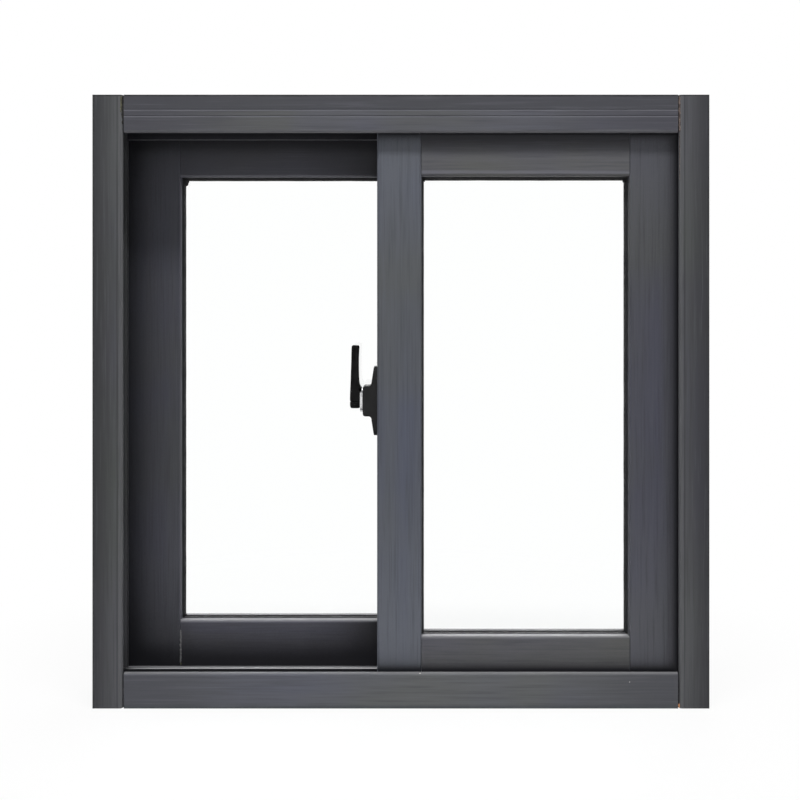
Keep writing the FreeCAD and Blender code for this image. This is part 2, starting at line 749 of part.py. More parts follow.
LEFT_CARRIAGE = f"{HOOK_INNER} + carriage_inset"
RIGHT_CARRIAGE = f"{SIDE_INNER} - carriage_inset"


def stile_caps(label):
    """Covers on the two stiles' tops, each with a plug down into the stile."""
    body = new_body(label)
    wide = f"({HALF_SASH} - sash_wall - cap_fit)"
    inside = "sash_wall + cap_fit"
    past_pocket = f"pocket_depth + {inside}"
    hook_cover = [
        ("-hook_reach", f"-{HALF_SASH}", "hook_corner"),
        (HOOK_INNER, f"-{HALF_SASH}"),
        (HOOK_INNER, HALF_SASH),
        ("-hook_reach", HALF_SASH, "hook_corner"),
    ]
    hook_plug = (f"{inside} - hook_reach", f"{HOOK_INNER} - ({past_pocket})")
    side_cover = box_loop(SIDE_INNER, SASH_END, f"-{HALF_SASH}", HALF_SASH)
    side_plug = (f"{SIDE_INNER} + {past_pocket}", f"{SASH_END} - ({inside})")
    for cover, plug in ((hook_cover, hook_plug), (side_cover, side_plug)):
        pad(body, sketch_on(body, "XY_Plane", [cover], offset=SASH_HEIGHT), "cap_thickness")
        plug_outline = sketch_on(body, "XY_Plane", [box_loop(*plug, f"-{wide}", wide)], offset=SASH_HEIGHT)
        pad(body, plug_outline, "cap_plug", reverse=True)
    return body


for name, rear in (("front", False), ("rear", True)):
    sash_pieces = [
        side_stile(f"{name}_side_stile"),
        hook_stile(f"{name}_hook_stile", locked=not rear),
        rail(f"{name}_top_rail", glazed_loops("top_rail_height", "rail_corner"), TOP_EDGE, "1"),
        rail(f"{name}_bottom_rail", skirted_loops("bottom_rail_height"), "bottom_rail_height", "-1"),
        glass(f"{name}_glass"),
        gasket(f"{name}_gasket"),
        hook_seal(f"{name}_hook_seal"),
        stile_caps(f"{name}_stile_caps"),
        carriage(f"{name}_hook_side_carriage", LEFT_CARRIAGE),
        carriage(f"{name}_jamb_side_carriage", RIGHT_CARRIAGE),
    ]
    for piece in sash_pieces:
        place_on_track(piece, rear)
    for side, middle in (("hook_side", LEFT_CARRIAGE), ("jamb_side", RIGHT_CARRIAGE)):
        roller = wheel(f"{name}_{side}_wheel", middle)
        rise = f"{SASH_FOOT} + {AXLE_UP}"
        if rear:
            place(roller, f"-({middle})", SASH_MIDDLE, f"{rise} + rear_raise", turned=True)
        else:
            place(roller, middle, f"-{SASH_MIDDLE}", rise)


# Blocks under the head keep the sashes from being lifted off their ribs
blocks = new_body("lift_blocks")
for way, rise in (("", "lift_gap"), ("-", "lift_gap - rear_raise")):
    middle = f"{way}block_place"
    through = f"{way}(-{SASH_MIDDLE})"
    loop = box_loop(f"{middle} - block_length / 2", f"{middle} + block_length / 2",
                    f"{through} - block_width / 2", f"{through} + block_width / 2")
    outline = sketch_on(blocks, "XY_Plane", [loop], offset="frame_height - head_chamber")
    pad(blocks, outline, f"{rise} - block_gap - cap_thickness", reverse=True)

# Rubber bumpers in the jambs meet the closed sashes
bumpers = new_body("jamb_bumpers")
for way, through in (("", f"-{SASH_MIDDLE}"), ("-", SASH_MIDDLE)):
    loops = []
    for middle in ("bumper_place", "frame_height - bumper_place"):
        loops.append(box_loop(f"{through} - bumper_width / 2", f"{through} + bumper_width / 2",
                              f"{middle} - bumper_height / 2", f"{middle} + bumper_height / 2"))
    wall_face = f"{way}(frame_width / 2 - jamb_chamber)"
    outline = sketch_on(bumpers, "YZ_Plane", loops, offset=wall_face)
    pad(bumpers, outline, "side_gap - bumper_fit", reverse=way == "")


# Lock on the side of the front hook stile
# It is drawn about the lever's axis, and out from the stile's side, which is along -X.
LOCK_OUT = f"-{SASH_MIDDLE}"
CAM_INNER = "(boss_reach + cam_gap)"
LEVER_INNER = f"({CAM_INNER} + cam_thickness)"
# The keeper stands on the rear stile between its room face and the gasket, and the cam reaches into it
KEEPER_INSIDE = f"({SASH_MIDDLE} - {HALF_POCKET} - keeper_back - keeper_wall)"
CAM_REACH = f"({SASH_MIDDLE} + {KEEPER_INSIDE} - keeper_gap)"


def place_lock(piece):
    place(piece, "-hook_reach", LOCK_OUT, "lock_height")


def lock_sketch(body, out, loops=(), circles=()):
    """A sketch seen along X, at a distance out from the stile."""
    return sketch_on(body, "YZ_Plane", loops, circles, offset=f"-({out})")


base = new_body("lock_base")
half_plate = "plate_length / 2"
half_boss = "boss_length / 2"
lower_half = [
    ("0", f"-{half_plate}"),
    ("-plate_end", f"-{half_plate}"),
    ("-plate_middle", f"-({half_boss} + boss_foot)"),
    ("-plate_middle", f"-{half_boss}", "boss_blend"),
    ("-boss_reach", f"-{half_boss}", "boss_round"),
]
upper_half = [(out, f"-({up})", *rest) for out, up, *rest in reversed(lower_half)]
pad(base, sketch_on(base, "XZ_Plane", [lower_half + upper_half]), "plate_width", symmetric=True)
plate_top = number(half_plate)


def is_plate_corner(edge):
    box = edge.BoundBox
    return box.ZLength < 0.001 and box.YLength < 0.001 and abs(abs(box.ZMin) - plate_top) < 0.001


dress_edges(base, "Fillet", is_plate_corner, "plate_round")
pocket(base, lock_sketch(base, "0", circles=[("0", "0", "pin_radius + pin_fit")]), symmetric=True)
screw_spots = [("0", "screw_place"), ("0", "-screw_place")]
shanks = [(*spot, "screw_shank") for spot in screw_spots]
holes = [(*spot, "screw_shank + screw_fit") for spot in screw_spots]
pocket(base, lock_sketch(base, "0", circles=holes), symmetric=True)
heads = [(*spot, "screw_head") for spot in screw_spots]
head_seats = [(*spot, "screw_head + screw_fit") for spot in screw_spots]
seats = lock_sketch(base, "plate_middle", circles=head_seats)
pocket(base, seats, "plate_middle - screw_seat", reverse=True)
place_lock(base)

pin = new_body("lock_spindle")
pin_outline = lock_sketch(pin, "pin_foot", circles=[("0", "0", "pin_radius")])
pad(pin, pin_outline, f"{CAM_INNER} - pin_foot", reverse=True)
place_lock(pin)

cam = new_body("lock_cam")
tongue = box_loop("0", CAM_REACH, "-cam_tongue / 2", "cam_tongue / 2", "cam_round")
cam_disc = lock_sketch(cam, CAM_INNER, circles=[("0", "0", "cam_radius")])
pad(cam, cam_disc, "cam_thickness", reverse=True)
pad(cam, lock_sketch(cam, CAM_INNER, [tongue]), "cam_thickness", reverse=True)
place_lock(cam)

# The lever's arm stands off the boss, and a lip at its neck reaches over the cam's rim
lever = new_body("lock_lever")
lip_foot = "cam_radius + lip_gap"
lip_face = f"-({LEVER_INNER} - lip_reach)"
hub_face = f"-({LEVER_INNER} + lever_thick)"
below_end = "lever_length - 2 * lever_round"
lever_view = [
    (f"-{LEVER_INNER}", "-lever_heel", "lever_round"),
    (f"-{LEVER_INNER}", lip_foot),
    (lip_face, lip_foot),
    (lip_face, f"{lip_foot} + lip_height"),
    ("-lever_inner", "lever_neck"),
    ("-lever_inner", "lever_length", "lever_round"),
    ("-lever_tip_outer", "lever_length", "lever_round"),
    ("-lever_tip_outer", below_end),
    (hub_face, "0"),
    (hub_face, "-lever_heel", "lever_round"),
]
pad(lever, sketch_on(lever, "XZ_Plane", [lever_view]), "lever_width", symmetric=True)
# Seen along the axis the lever tapers to its end and its heel is round
end_half = "lever_tip_width / 2"
hub_half = "lever_width / 2"
front_view = [
    (f"-{hub_half}", "-lever_heel", "heel_round"),
    (hub_half, "-lever_heel", "heel_round"),
    (hub_half, "lever_neck"),
    (end_half, below_end),
    (end_half, "lever_length", "lever_round"),
    (f"-{end_half}", "lever_length", "lever_round"),
    (f"-{end_half}", below_end),
    (f"-{hub_half}", "lever_neck"),
]
around = box_loop("-lever_width", "lever_width", "-2 * lever_heel", "2 * lever_length")
pocket(lever, lock_sketch(lever, "0", [around, front_view]))
place_lock(lever)

screws = new_body("lock_screws")
pad(screws, lock_sketch(screws, "screw_seat", circles=heads), "screw_head_height", reverse=True)
pad(screws, lock_sketch(screws, "screw_seat", circles=shanks), "screw_length")
place_lock(screws)

# Keeper on the rear hook stile, open to the room, with its lip outside the cam's tongue
keeper = new_body("lock_keeper")
stile_face = f"-{HOOK_INNER}"
foot_edge = "sash_gap / 2 + keeper_foot"
lip_inner = f"-hook_reach - {LEVER_INNER} - keeper_gap"
keeper_view = [
    (stile_face, foot_edge),
    (stile_face, f"{KEEPER_INSIDE} + keeper_wall"),
    (f"{lip_inner} - keeper_wall", f"{KEEPER_INSIDE} + keeper_wall"),
    (f"{lip_inner} - keeper_wall", f"{KEEPER_INSIDE} - keeper_lip"),
    (lip_inner, f"{KEEPER_INSIDE} - keeper_lip"),
    (lip_inner, KEEPER_INSIDE),
    (f"{stile_face} - keeper_wall", KEEPER_INSIDE),
    (f"{stile_face} - keeper_wall", foot_edge),
]
keeper_outline = sketch_on(keeper, "XY_Plane", [keeper_view], offset="lock_height - keeper_height / 2")
pad(keeper, keeper_outline, "keeper_height")

# Check every object, then write one file for each piece
doc.recompute()
for thing in doc.Objects:
    if "Invalid" in thing.State or "Error" in thing.State:
        raise ValueError(f"{thing.Label} failed: {thing.State}")
for piece in pieces:
    if piece.Shape.isNull() or not piece.Shape.isValid():
        raise ValueError(f"{piece.Label} has no valid shape")
for piece in pieces:
    piece.Shape.exportStep(f"parts/{piece.Label}.step")
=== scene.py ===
from collections import namedtuple
import json
import math

import bmesh
import bpy
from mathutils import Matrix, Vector, noise


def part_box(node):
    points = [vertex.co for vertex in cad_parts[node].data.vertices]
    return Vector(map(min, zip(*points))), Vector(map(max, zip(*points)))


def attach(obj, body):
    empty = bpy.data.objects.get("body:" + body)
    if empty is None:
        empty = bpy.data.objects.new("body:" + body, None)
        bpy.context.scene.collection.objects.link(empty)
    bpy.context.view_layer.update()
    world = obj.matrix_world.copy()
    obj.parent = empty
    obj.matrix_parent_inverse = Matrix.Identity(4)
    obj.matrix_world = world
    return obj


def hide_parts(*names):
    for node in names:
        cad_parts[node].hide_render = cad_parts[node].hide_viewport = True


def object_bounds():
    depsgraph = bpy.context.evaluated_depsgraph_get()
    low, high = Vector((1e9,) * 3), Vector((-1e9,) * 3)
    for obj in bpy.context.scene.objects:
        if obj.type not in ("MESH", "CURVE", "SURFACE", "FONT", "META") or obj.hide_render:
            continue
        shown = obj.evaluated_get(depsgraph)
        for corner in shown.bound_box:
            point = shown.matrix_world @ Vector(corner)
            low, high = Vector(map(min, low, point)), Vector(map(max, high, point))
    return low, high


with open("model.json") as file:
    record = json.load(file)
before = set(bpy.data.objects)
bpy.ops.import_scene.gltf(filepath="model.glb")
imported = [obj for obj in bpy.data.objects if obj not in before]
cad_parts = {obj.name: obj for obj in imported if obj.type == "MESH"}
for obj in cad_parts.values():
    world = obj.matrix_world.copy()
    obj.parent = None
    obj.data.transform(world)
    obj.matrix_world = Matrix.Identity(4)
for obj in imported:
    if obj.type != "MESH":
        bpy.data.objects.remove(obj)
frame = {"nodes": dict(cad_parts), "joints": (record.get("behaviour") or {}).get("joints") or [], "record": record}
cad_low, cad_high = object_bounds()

nodes = frame["nodes"]
MM = 0.001


def mm(*numbers):
    """A point given in millimetres, in metres."""
    return Vector([number * MM for number in numbers])


def box_mm(node):
    """A node's lowest and highest corners, in millimetres."""
    return [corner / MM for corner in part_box(node)]


def shade(tone, factor):
    """A colour made darker or lighter."""
    return tuple(channel * factor for channel in tone)


# Materials
class Paint:
    """A material's node tree, with the few nodes that the finishes share."""

    def __init__(self, name):
        self.material = bpy.data.materials.new(name)
        self.material.use_nodes = True
        self.tree = self.material.node_tree
        self.tree.nodes.clear()
        self.output = self.add("ShaderNodeOutputMaterial")
        self.shader = self.add("ShaderNodeBsdfPrincipled")
        self.link(self.shader.outputs["BSDF"], self.output.inputs["Surface"])
        self.geometry = self.add("ShaderNodeNewGeometry")
        self.place = self.add("ShaderNodeTexCoord").outputs["Object"]

    def add(self, kind, **settings):
        """A new node of this kind, with its own settings made."""
        node = self.tree.nodes.new(kind)
        for name, value in settings.items():
            setattr(node, name, value)
        return node

    def link(self, source, target):
        self.tree.links.new(source, target)

    def set(self, **sockets):
        """Give the shader's sockets numbers that are the same all over the surface."""
        for name, value in sockets.items():
            self.shader.inputs[name.replace("_", " ")].default_value = value

    def axis(self, vector, letter):
        """One of a vector's three numbers."""
        split = self.add("ShaderNodeSeparateXYZ")
        self.link(vector, split.inputs[0])
        return split.outputs[letter]

    def distance(self, letter):
        """The height, or how far to either side of the window's middle."""
        along = self.axis(self.place, letter)
        return self.magnitude(along) if letter == "X" else along

    def facing(self, letter):
        """1 on faces that look along this axis either way, 0 on those that it runs along."""
        return self.magnitude(self.axis(self.geometry.outputs["True Normal"], letter))

    def noise(self, scale, detail=3.0, rough=0.5, stretch=None):
        """Noise of so many lumps a metre, drawn out where the stretch is small."""
        source = self.place
        if stretch:
            mapping = self.add("ShaderNodeMapping")
            mapping.inputs["Scale"].default_value = stretch
            self.link(self.place, mapping.inputs["Vector"])
            source = mapping.outputs["Vector"]
        node = self.add("ShaderNodeTexNoise")
        node.inputs["Scale"].default_value = scale
        node.inputs["Detail"].default_value = detail
        node.inputs["Roughness"].default_value = rough
        self.link(source, node.inputs["Vector"])
        return node.outputs["Fac"]

    def sheltered(self, reach, open_at, closed_at):
        """0 in the open, 1 in corners and channels narrower than the reach."""
        node = self.add("ShaderNodeAmbientOcclusion", samples=8)
        node.inputs["Distance"].default_value = reach
        return self.spread(node.outputs["AO"], 0.0, 1.0, open_at, closed_at)

    def cells(self, scale):
        """Small round pores, so many a metre."""
        node = self.add("ShaderNodeTexVoronoi")
        node.inputs["Scale"].default_value = scale
        self.link(self.place, node.inputs["Vector"])
        return node.outputs["Distance"]

    def spread(self, source, low, high, start=0.3, end=0.7, smooth=False):
        """A number that goes from low to high as the source goes from start to end."""
        node = self.add("ShaderNodeMapRange")
        if smooth:
            node.interpolation_type = "SMOOTHSTEP"
        for name, value in (("From Min", start), ("From Max", end), ("To Min", low), ("To Max", high)):
            node.inputs[name].default_value = value
        self.link(source, node.inputs["Value"])
        return node.outputs["Result"]

    def mix(self, amount, first, second):
        """A colour between two others."""
        node = self.add("ShaderNodeMix", data_type="RGBA")
        self.link(amount, node.inputs["Factor"])
        for slot, colour in ((6, first), (7, second)):
            if isinstance(colour, tuple):
                node.inputs[slot].default_value = (*colour, 1.0)
            else:
                self.link(colour, node.inputs[slot])
        return node.outputs[2]

    def math(self, operation, first, second):
        node = self.add("ShaderNodeMath", operation=operation)
        for index, value in enumerate((first, second)):
            if isinstance(value, (int, float)):
                node.inputs[index].default_value = value
            else:
                self.link(value, node.inputs[index])
        return node.outputs[0]

    def magnitude(self, source):
        return self.math("ABSOLUTE", source, 0.0)

    def colour(self, source):
        self.link(source, self.shader.inputs["Base Color"])

    def roughness(self, source):
        self.link(source, self.shader.inputs["Roughness"])

    def bump(self, height, strength, distance):
        node = self.add("ShaderNodeBump")
        node.inputs["Strength"].default_value = strength
        node.inputs["Distance"].default_value = distance
        self.link(height, node.inputs["Height"])
        self.link(node.outputs["Normal"], self.shader.inputs["Normal"])


# The charcoal coat's texture: noise in lumps a metre, drawn out along the extrusion
STREAKS = {"Z": (1.0, 1.0, 0.025), "X": (0.025, 1.0, 1.0)}
BROAD_STREAKS = 55.0
FINE_STREAKS = 620.0
CLOUDS = 5.5
WAVERING = 38.0
WAVER = 0.0006
COAT_GRAIN = 1300.0
COAT_ROUGHNESS = (0.28, 0.38)
COAT_GLOSS = 0.11
STREAK_DARK = 0.62
STREAK_DARK_SHARE = 0.45
STREAK_LIGHT = 1.3
STREAK_LIGHT_SHARE = 0.35

# Bare metal, on the sawn ends and the worn rails
BARE_DARK = (0.42, 0.42, 0.43)
BARE_LIGHT = (0.62, 0.62, 0.63)
SAW_MARKS = 220.0
SAW_STRETCH = (1.0, 9.0, 1.0)
SAWN_FACING = 0.98
RAIL_MIDDLE = 0.019
RAIL_HALF = 0.0013
FRONT_RAIL_WORN = 0.0310
REAR_RAIL_RISE = 0.004
WEAR_SPOTS = 90.0
WEAR_STRETCH = (0.2, 1.0, 1.0)
WEAR_RAGGED = 0.0003

# Painted shade in the corners behind the frame's own faces, and dust on what looks up
CORNER_SHADE_FACTOR = 0.22
FRAME_FACE_DEPTH = 0.039
CORNER_SHADE_OPEN = 0.99
UPRIGHT_FACING = (0.5, 0.9)
DUST = (0.155, 0.155, 0.16)
DUST_PATCHES = 30.0
DUST_THIN = 0.62
DUST_THICK = 0.86
DUST_SLOPES = (0.3, 0.95)


def corner_shade_mask(paint, reach, closed_at):
    """1 where painted shade darkens the corners of the upright faces that stand behind the frame's own faces."""
    depth = paint.magnitude(paint.axis(paint.place, "Y"))
    behind = paint.math("LESS_THAN", depth, FRAME_FACE_DEPTH)
    upright = paint.math("MULTIPLY", paint.spread(paint.facing("Y"), 0.0, 1.0, *UPRIGHT_FACING), behind)
    return paint.math("MULTIPLY", upright, paint.sheltered(reach, CORNER_SHADE_OPEN, closed_at))


def dusty(paint):
    """1 where fine dust lies, on the lips and ledges that look up."""
    upward = paint.spread(paint.axis(paint.geometry.outputs["Normal"], "Z"), 0.0, 1.0, *DUST_SLOPES)
    patches = paint.spread(paint.noise(DUST_PATCHES, detail=4.0, rough=0.6), DUST_THIN, DUST_THICK)
    return paint.math("MULTIPLY", upward, patches)


def worn_rail(paint):
    """1 on the tops of the two rails, where the wheels have worn the coat off."""
    y = paint.axis(paint.place, "Y")
    off_middle = paint.math("SUBTRACT", paint.magnitude(y), RAIL_MIDDLE)
    near = paint.math("LESS_THAN", paint.magnitude(off_middle), RAIL_HALF)
    rise = paint.math("MULTIPLY", paint.math("GREATER_THAN", y, 0.0), REAR_RAIL_RISE)
    height = paint.math("SUBTRACT", paint.axis(paint.place, "Z"), rise)
    spots = paint.noise(WEAR_SPOTS, rough=0.6, stretch=WEAR_STRETCH)
    ragged = paint.spread(spots, -WEAR_RAGGED, WEAR_RAGGED)
    high = paint.math("GREATER_THAN", paint.math("ADD", height, ragged), FRONT_RAIL_WORN)
    return paint.math("MULTIPLY", near, high)


# A band has an axis, where it starts, where it is full, how strong it gets there, and its colour.
# A line has an axis, its middle, half its thickness, its strength and its colour.
Band = namedtuple("Band", "axis start end strength colour")
Line = namedtuple("Line", "axis middle half strength colour")
LINE_CORE = 0.7
LINE_EDGE = 1.3


def profile_paint(name, along, tones, bands=(), lines=(), reach=0.045, closed_at=0.7, worn_rails=False):
    """Satin powder coat on an extrusion, streaked along its length; its sawn ends are bare metal.

    The tones are the main one, a cooler and a warmer. The painted shade in the corners reaches so far,
    and is full where only such a share of the surroundings is open. Most bands and lines are painted light and
    shade.
    """
    paint = Paint(name)
    main, cool, warm = tones
    broad = paint.noise(BROAD_STREAKS, rough=0.55, stretch=STREAKS[along])
    coat = paint.mix(paint.spread(broad, 0.0, 1.0, 0.38, 0.62), main, cool)
    clouds = paint.noise(CLOUDS, detail=2.0)
    coat = paint.mix(paint.spread(clouds, 0.0, 1.0, 0.42, 0.6), coat, warm)
    uneven = paint.spread(paint.noise(WAVERING, detail=4.0, rough=0.6), -WAVER, WAVER)
    for band in bands:
        across = paint.math("ADD", paint.distance(band.axis), uneven)
        amount = paint.spread(across, 0.0, band.strength, band.start, band.end, smooth=True)
        coat = paint.mix(amount, coat, band.colour)
    for line in lines:
        off = paint.magnitude(paint.math("SUBTRACT", paint.distance(line.axis), line.middle))
        amount = paint.spread(off, line.strength, 0.0, line.half * LINE_CORE, line.half * LINE_EDGE)
        coat = paint.mix(amount, coat, line.colour)
    fine = paint.noise(FINE_STREAKS, detail=2.0, rough=0.6, stretch=STREAKS[along])
    darker = paint.spread(fine, 0.0, STREAK_DARK_SHARE, 0.5, 0.3)
    coat = paint.mix(darker, coat, shade(main, STREAK_DARK))
    lighter = paint.spread(fine, 0.0, STREAK_LIGHT_SHARE, 0.55, 0.75)
    coat = paint.mix(lighter, coat, shade(main, STREAK_LIGHT))
    # Painted shade darkens the corners behind the frame's own faces.
    if reach:
        coat = paint.mix(corner_shade_mask(paint, reach, closed_at), coat, shade(main, CORNER_SHADE_FACTOR))
    coat = paint.mix(dusty(paint), coat, DUST)
    metal = paint.math("GREATER_THAN", paint.facing(along), SAWN_FACING)
    if worn_rails:
        metal = paint.math("MAXIMUM", metal, worn_rail(paint))
        paint.link(metal, paint.shader.inputs["Metallic"])
    bare = paint.mix(paint.noise(SAW_MARKS, rough=0.6, stretch=SAW_STRETCH), BARE_DARK, BARE_LIGHT)
    paint.colour(paint.mix(metal, coat, bare))
    paint.roughness(paint.spread(fine, *COAT_ROUGHNESS))
    paint.set(Specular_IOR_Level=COAT_GLOSS)
    paint.bump(paint.noise(COAT_GRAIN, detail=2.0), strength=0.06, distance=0.0003)
    return paint.material


def rubber_finish():
    """Matt black rubber with a little dust in it."""
    paint = Paint("black_rubber")
    dust = paint.spread(paint.noise(60.0, detail=5.0), 0.0, 1.0)
    clean_black = (0.006, 0.006, 0.007)
    dusty_black = (0.016, 0.016, 0.017)
    paint.colour(paint.mix(dust, clean_black, dusty_black))
    paint.roughness(paint.spread(paint.noise(200.0), 0.5, 0.7))
    paint.set(Specular_IOR_Level=0.25)
    paint.bump(paint.noise(1500.0, detail=2.0), strength=0.08, distance=0.0003)
    return paint.material


def pile_finish():
    """Short woven pile, its fibres lighter than the gaps between them."""
    paint = Paint("grey_pile")
    fibres = paint.noise(2500.0, detail=2.0, rough=0.7)
    between = (0.045, 0.045, 0.048)
    fibre = (0.16, 0.16, 0.165)
    paint.colour(paint.mix(fibres, between, fibre))
    paint.set(Roughness=0.95, Specular_IOR_Level=0.1)
    paint.bump(fibres, strength=0.5, distance=0.0006)
    return paint.material


def foam_finish():
    """Brown closed-cell foam."""
    paint = Paint("foam")
    pores = paint.cells(1800.0)
    pore = (0.13, 0.085, 0.045)
    wall = (0.36, 0.27, 0.15)
    paint.colour(paint.mix(pores, pore, wall))
    paint.set(Roughness=0.9, Specular_IOR_Level=0.15)
    paint.bump(pores, strength=0.4, distance=0.0004)
    return paint.material


def nylon_finish(name, dark, light, rough):
    """Moulded nylon, faintly mottled."""
    paint = Paint(name)
    paint.colour(paint.mix(paint.noise(45.0, detail=4.0), dark, light))
    paint.roughness(paint.spread(paint.noise(300.0), rough - 0.05, rough + 0.06))
    paint.set(Specular_IOR_Level=0.35)
    paint.bump(paint.noise(900.0, detail=2.0), strength=0.06, distance=0.0003)
    return paint.material


def lock_black_finish():
    """Black powder coat on a casting, greyer on its sharp edges."""
    paint = Paint("lock_black")
    lighter_edges = paint.spread(paint.geometry.outputs["Pointiness"], 0.0, 0.5, 0.51, 0.6)
    handled = paint.noise(140.0, detail=4.0, rough=0.6, stretch=(1.0, 1.0, 0.35))
    deep_black = (0.0022, 0.0022, 0.0022)
    soft_black = (0.0075, 0.0075, 0.0078)
    edge_grey = (0.028, 0.028, 0.029)
    coat = paint.mix(paint.spread(handled, 0.0, 1.0, 0.4, 0.62), deep_black, soft_black)
    paint.colour(paint.mix(lighter_edges, coat, edge_grey))
    paint.roughness(paint.spread(handled, 0.3, 0.42))
    paint.set(Specular_IOR_Level=0.05)
    paint.bump(paint.noise(2200.0, detail=2.0), strength=0.1, distance=0.0003)
    return paint.material


def steel_finish():
    """Nickel-plated steel, brushed and a little stained."""
    paint = Paint("lock_steel")
    brush = paint.noise(300.0, rough=0.6, stretch=(1.0, 12.0, 1.0))
    stained = paint.spread(paint.noise(260.0, rough=0.6), 0.0, 0.7, 0.46, 0.62)
    plate_dark = (0.58, 0.58, 0.59)
    plate_light = (0.86, 0.86, 0.87)
    stain = (0.33, 0.33, 0.335)
    paint.colour(paint.mix(stained, paint.mix(brush, plate_dark, plate_light), stain))
    paint.roughness(paint.spread(brush, 0.16, 0.3))
    paint.set(Metallic=1.0)
    paint.bump(brush, strength=0.05, distance=0.0002)
    return paint.material


def sealant_finish(name, dark, light):
    """Hardened sealant or chipped paint, uneven and a little dusty."""
    paint = Paint(name)
    lumps = paint.noise(420.0, detail=4.0, rough=0.65)
    paint.colour(paint.mix(paint.spread(lumps, 0.0, 1.0, 0.38, 0.62), dark, light))
    paint.roughness(paint.spread(lumps, 0.5, 0.75))
    paint.set(Specular_IOR_Level=0.25)
    paint.bump(lumps, strength=0.4, distance=0.0005)
    return paint.material


def glass_finish():
    """Clear float glass, faintly uneven, that lets the lamps' light through."""
    paint = Paint("clear_glass")
    faint_green = (0.985, 0.996, 0.992)
    clear_white = (0.996, 1.0, 0.998)
    paint.colour(paint.mix(paint.noise(3.0), faint_green, clear_white))
    paint.set(Roughness=0.0, IOR=1.45, Transmission_Weight=1.0)
    paint.bump(paint.noise(6.0, detail=1.0), strength=0.02, distance=0.0004)
    clear = paint.add("ShaderNodeBsdfTransparent")
    path = paint.add("ShaderNodeLightPath")
    either = paint.add("ShaderNodeMixShader")
    paint.link(path.outputs["Is Shadow Ray"], either.inputs[0])
    paint.link(paint.shader.outputs["BSDF"], either.inputs[1])
    paint.link(clear.outputs["BSDF"], either.inputs[2])
    paint.link(either.outputs["Shader"], paint.output.inputs["Surface"])
    return paint.material


# Tones of the charcoal coat: main, cooler and warmer. The jambs' tones are darker, as painted shade.
SHADED_JAMB_TONES = ((0.062, 0.063, 0.068), (0.059, 0.060, 0.073), (0.061, 0.065, 0.063))
HEAD_TONES = ((0.078, 0.078, 0.093), (0.074, 0.076, 0.099), (0.078, 0.080, 0.081))
SILL_TONES = ((0.092, 0.094, 0.108), (0.086, 0.090, 0.112), (0.095, 0.098, 0.100))
STILE_TONES = ((0.075, 0.080, 0.095), (0.071, 0.077, 0.102), (0.078, 0.082, 0.087))
# Painted shade: a darker copy of the stiles' tones, for the side stile and the rear sash
SHADED_STILE_TONES = ((0.058, 0.059, 0.070), (0.054, 0.055, 0.074), (0.059, 0.061, 0.063))
RAIL_TONES = ((0.080, 0.080, 0.094), (0.076, 0.077, 0.100), (0.083, 0.084, 0.083))

# Colours of the coat's bands and lines
# Painted highlight on the jamb's rounded lip
JAMB_EDGE_HIGHLIGHT = (0.092, 0.093, 0.098)
# Painted shade on the jamb's outer side and in its groove
JAMB_SHADE = (0.024, 0.024, 0.027)
# Painted shade on the head's upper part
HEAD_UPPER_SHADE = (0.052, 0.053, 0.060)
# Painted highlight on the head's rounded lower edge
HEAD_EDGE_HIGHLIGHT = (0.125, 0.125, 0.135)
# Painted highlights on the head's two fine grooves
HEAD_GROOVE_HIGHLIGHT = (0.102, 0.103, 0.118)
# Painted highlight along the top rail's rounded lower edge
RAIL_EDGE_HIGHLIGHT = (0.125, 0.125, 0.145)
# Painted shade along the frame's top edge and the jambs' outer side
EDGE_SHADE = (0.020, 0.020, 0.021)
SILL_FOOT_DARK = (0.050, 0.058, 0.062)
# Painted shadow of the head on the front top rail
HEAD_SHADOW_COLOUR = (0.010, 0.010, 0.011)
# Painted light: how much lighter the uprights get towards their ends
END_LIGHT_GAIN = 1.45
# Painted shade: how much darker the tracks get towards the jambs
END_SHADE_FACTOR = 0.68
SHADED = 0.5

# Edges that the bands and lines lie along, and how far the fine lines are from them, in metres
frame_top = cad_high.z
frame_side = cad_high.x
jamb_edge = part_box("right_jamb")[0].x
head_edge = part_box("head_track")[0].z
top_rail_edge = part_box("front_top_rail")[0].z
JAMB_GROOVE = 0.0052
RAIL_HIGHLIGHT_RISE = 0.0042
FIRST_GROOVE = 0.0150
GROOVE_STEP = 0.0062

# Where a band starts and is full: heights, or places to either side of the window's middle, in metres
# Painted light on the uprights towards the sill and the head
LIT_FOOT = (0.25, 0.02)
LIT_TOP = (0.40, 0.56)
# Painted shade on the tracks towards the jambs
SHADED_ENDS = (0.10, 0.27)
SHADED_HEIGHTS = (0.30, 0.50)
SILL_FOOT = (0.0045, 0.0015)

# The same, measured from an edge
SHADED_TOP_REACH = (-0.0022, -0.0008)
SHADED_SIDE_REACH = (-0.0030, -0.0004)
HEAD_SHADOW_REACH = (-0.0215, -0.0025)
UPPER_SHADE_FOOT = (-0.0165, -0.0145)
HEAD_HIGHLIGHT_TOP = (0.0045, 0.0015)
JAMB_HIGHLIGHT_SIDE = (0.0042, 0.0034)


def edge_band(axis, edge, reaches, strength, colour):
    """A band that starts and is full at two reaches from an edge, which are below 0 on its low side."""
    start, full = reaches
    return Band(axis, edge + start, edge + full, strength, colour)


# Painted shade along the frame's top edge and the jambs' outer side
shaded_top_edge = edge_band("Z", frame_top, SHADED_TOP_REACH, strength=0.85, colour=EDGE_SHADE)
shaded_side_edge = edge_band("X", frame_side, SHADED_SIDE_REACH, strength=0.45, colour=EDGE_SHADE)
# Painted shadow of the head on the front top rail
head_shadow = edge_band("Z", head_edge, HEAD_SHADOW_REACH, strength=0.8, colour=HEAD_SHADOW_COLOUR)
shaded_top_rail = Band("Z", *SHADED_HEIGHTS, strength=0.7, colour=shade(RAIL_TONES[0], SHADED))
